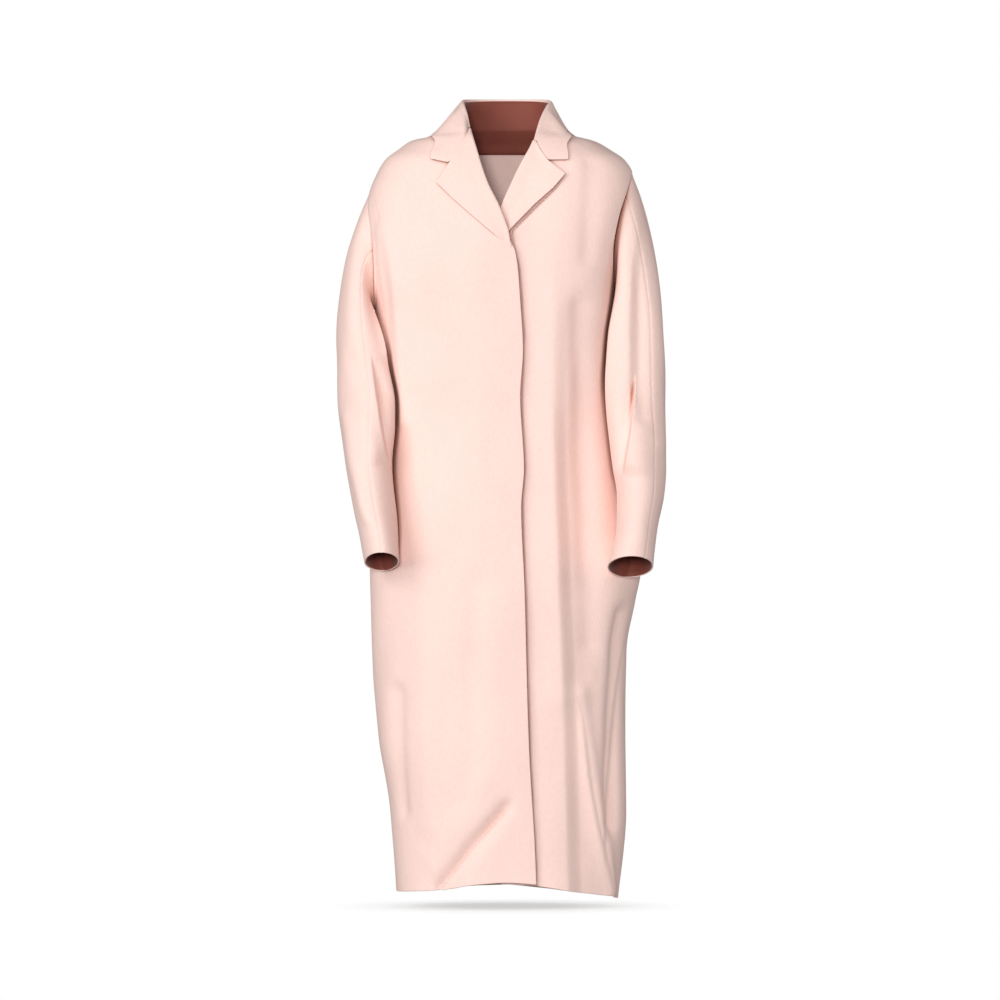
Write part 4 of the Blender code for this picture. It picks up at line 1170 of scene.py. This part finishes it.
def make_linings(lining):
    angles = np.pi + np.radians(np.linspace(-LINING_SPAN, LINING_SPAN, LINING_COLUMNS + 1))
    share = np.linspace(0, 1, LINING_ROWS + 1) ** LINING_CROWDING
    angles, heights = np.meshgrid(angles, LINING_TOP - (LINING_DEPTH + LINING_TOP) * share)
    points, normals = body_point(angles, heights), body_normal(angles, heights)
    points = points - normals * (WALL + BACK_LINING_GAP)
    sew("lining_back", (points, normals), lining)
    for side, name in SIDES:
        rings = SLEEVES[side]
        run = rings[0].height - rings[-1].height
        rows = 2 - np.linspace(CUFF_INSET / run, LINING_SHARE, CUFF_LINING_ROWS + 1)
        turns = np.radians(np.linspace(0, 360, 2 * SLEEVE_COLUMNS + 1))[:-1]
        points = sleeve_point(side, *np.meshgrid(turns, rows))
        middle = points.mean(axis=1, keepdims=True)
        normals = facing_out(points, grid_normals(points, closed=True), middle)
        grid = (points - normals * (WALL + LINING_GAP), normals)
        sew(f"lining_sleeve_{name}", grid, lining, closed=True)


# ---- finishes


def set_inputs(made, values):
    for name, value in values.items():
        made.inputs[name].default_value = value


def node(tree, kind, **values):
    """Adds a node beside the others, and sets its inputs and its own properties."""
    made = tree.nodes.new(kind)
    made.location = (NODE_STEP * len(tree.nodes), 0)
    for name, value in values.items():
        if name in made.inputs:
            made.inputs[name].default_value = value
        else:
            setattr(made, name, value)
    return made


def noise(tree, coordinates, scale, detail, stretch):
    mapping = node(tree, "ShaderNodeMapping", Scale=stretch)
    tree.links.new(coordinates, mapping.inputs["Vector"])
    made = node(tree, "ShaderNodeTexNoise", Scale=scale, Detail=detail)
    tree.links.new(mapping.outputs["Vector"], made.inputs["Vector"])
    return made.outputs["Fac"]


def ramp(tree, factor, stops):
    """Colours at places along a factor from 0 to 1."""
    made = node(tree, "ShaderNodeValToRGB")
    elements = made.color_ramp.elements
    for element, (position, colour) in zip(elements, stops[:2]):
        element.position, element.color = position, (*colour, 1)
    for position, colour in stops[2:]:
        elements.new(position).color = (*colour, 1)
    tree.links.new(factor, made.inputs["Fac"])
    return made.outputs["Color"]


def multiplied(tree, share, first, second):
    """The first colour times this share of the second. The colour sockets come after others."""
    made = node(tree, "ShaderNodeMix", data_type="RGBA", blend_type="MULTIPLY")
    made.inputs[0].default_value = share
    tree.links.new(first, made.inputs[6])
    tree.links.new(second, made.inputs[7])
    return made.outputs[2]


def bump(tree, height, strength, distance, before=None):
    made = node(tree, "ShaderNodeBump", Strength=strength, Distance=distance)
    tree.links.new(height, made.inputs["Height"])
    if before is not None:
        tree.links.new(before, made.inputs["Normal"])
    return made.outputs["Normal"]


def painted_fold_shade(tree):
    """Painted shade: white in the open and a deep brown in narrow folds and recesses, by ambient
    occlusion.
    """
    kind = "ShaderNodeAmbientOcclusion"
    open_share = node(tree, kind, samples=PAINTED_SHADE_SAMPLES, Distance=PAINTED_SHADE_REACH)
    return ramp(tree, open_share.outputs["AO"], PAINTED_FOLD_SHADE)


def new_material(name, settings):
    material = bpy.data.materials.new(name)
    material.use_nodes = True
    tree = material.node_tree
    shader = tree.nodes["Principled BSDF"]
    set_inputs(shader, settings)
    return material, tree, shader, node(tree, "ShaderNodeTexCoord").outputs["Object"]


def wool_finish():
    """Brushed double-faced wool: a fine short nap, lightly mottled, with painted shade deepening its
    narrow folds.
    """
    material, tree, shader, at = new_material("blush_wool", WOOL_SHADER)
    noises = {name: noise(tree, at, *row) for name, row in WOOL_NOISES.items()}
    tone = ramp(tree, noises["broad"], WOOL_TONES)
    colour = multiplied(tree, FLECK_SHARE, tone, ramp(tree, noises["fleck"], WOOL_FLECKS))
    # Painted shade: the wool's colour is multiplied by the darkening of its folds and recesses.
    colour = multiplied(tree, 1.0, colour, painted_fold_shade(tree))
    tree.links.new(colour, shader.inputs["Base Color"])
    normal = None
    for row in WOOL_RELIEFS:
        normal = bump(tree, noises[row.noise], row.strength, row.distance, normal)
    tree.links.new(normal, shader.inputs["Normal"])
    return material


def lining_and_shade_finish():
    """A plain brown twill with a low sheen, its dark brown partly painted shade for the hollow inside of
    the coat.
    """
    material, tree, shader, at = new_material("brown_lining_and_shade", LINING_AND_SHADE_SHADER)
    tone = ramp(tree, noise(tree, at, *LINING_NOISE), LINING_AND_SHADE_TONES)
    tree.links.new(tone, shader.inputs["Base Color"])
    twill = node(tree, "ShaderNodeTexWave", bands_direction="DIAGONAL", **TWILL)
    tree.links.new(at, twill.inputs["Vector"])
    normal = bump(tree, twill.outputs["Fac"], *TWILL_RELIEF)
    tree.links.new(normal, shader.inputs["Normal"])
    return material


# ---- the studio


def make_camera():
    data = bpy.data.cameras.new("camera")
    data.sensor_width = SENSOR
    data.lens = SENSOR * CAMERA_DISTANCE / VIEW_WIDTH
    data.clip_end = CAMERA_REACH
    camera = add_object("camera", data, (VIEW_CENTRE[0], -CAMERA_DISTANCE, VIEW_CENTRE[1]))
    camera.rotation_euler = (math.pi / 2, 0, 0)
    bpy.context.scene.camera = camera


def area_light(name, place, size, power):
    data = bpy.data.lights.new(name, "AREA")
    data.size, data.energy = size, power
    aim = Vector(LIGHT_TARGET) - Vector(place)
    add_object(name, data, place).rotation_euler = aim.to_track_quat("-Z", "Y").to_euler()


def make_studio():
    """White where the camera sees past the coat, with a dimmer white light all round."""
    scene = bpy.context.scene
    scene.view_settings.view_transform = "Standard"
    scene.view_settings.look = "None"
    scene.world = bpy.data.worlds.new("studio")
    scene.world.use_nodes = True
    tree = scene.world.node_tree
    lit = tree.nodes["Background"]
    set_inputs(lit, {"Color": WHITE, "Strength": WORLD_LIGHT})
    seen = node(tree, "ShaderNodeBackground", Color=WHITE, Strength=1.0)
    rays = node(tree, "ShaderNodeLightPath")
    mix = node(tree, "ShaderNodeMixShader")
    sources = (rays.outputs["Is Camera Ray"], lit.outputs[0], seen.outputs[0])
    for source, target in zip(sources, mix.inputs):
        tree.links.new(source, target)
    tree.links.new(mix.outputs[0], tree.nodes["World Output"].inputs["Surface"])
    for light in LIGHTS:
        area_light(*light)


def make_floor():
    """A pale round floor that fades out into the white studio."""
    angle = np.linspace(0, 2 * np.pi, FLOOR_COLUMNS, endpoint=False)
    rings = [np.stack([r * np.cos(angle), r * np.sin(angle), 0 * angle], axis=-1) for r in FLOOR_RINGS]
    points = np.concatenate([[[0, 0, 0]], *rings])
    points[:, 2] = FLOOR_HEIGHT
    faces = [[0, 1 + j, 1 + (j + 1) % FLOOR_COLUMNS] for j in range(FLOOR_COLUMNS)]
    faces += grid_faces(len(rings), FLOOR_COLUMNS, 1, True).tolist()
    material, tree, shader, at = new_material("pale_floor", FLOOR_SHADER)
    flat = node(tree, "ShaderNodeMapping", Scale=(1, 1, 0))
    length = node(tree, "ShaderNodeVectorMath", operation="LENGTH")
    fade = node(tree, "ShaderNodeMapRange", interpolation_type="SMOOTHSTEP", **FLOOR_FADE)
    tree.links.new(at, flat.inputs["Vector"])
    tree.links.new(flat.outputs["Vector"], length.inputs[0])
    tree.links.new(length.outputs["Value"], fade.inputs["Value"])
    tree.links.new(fade.outputs["Result"], shader.inputs["Alpha"])
    add_mesh("floor", points, faces, material)


def main():
    make_camera()
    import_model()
    make_studio()
    make_floor()
    wool = Fabric("wool", wool_finish(), WALL)
    lining = Fabric("lining", lining_and_shade_finish(), LINING_WALL)
    make_panels(wool)
    make_sleeves(wool)
    make_lapels(wool)
    make_collar(wool)
    make_stand(lining)
    make_linings(lining)


main()
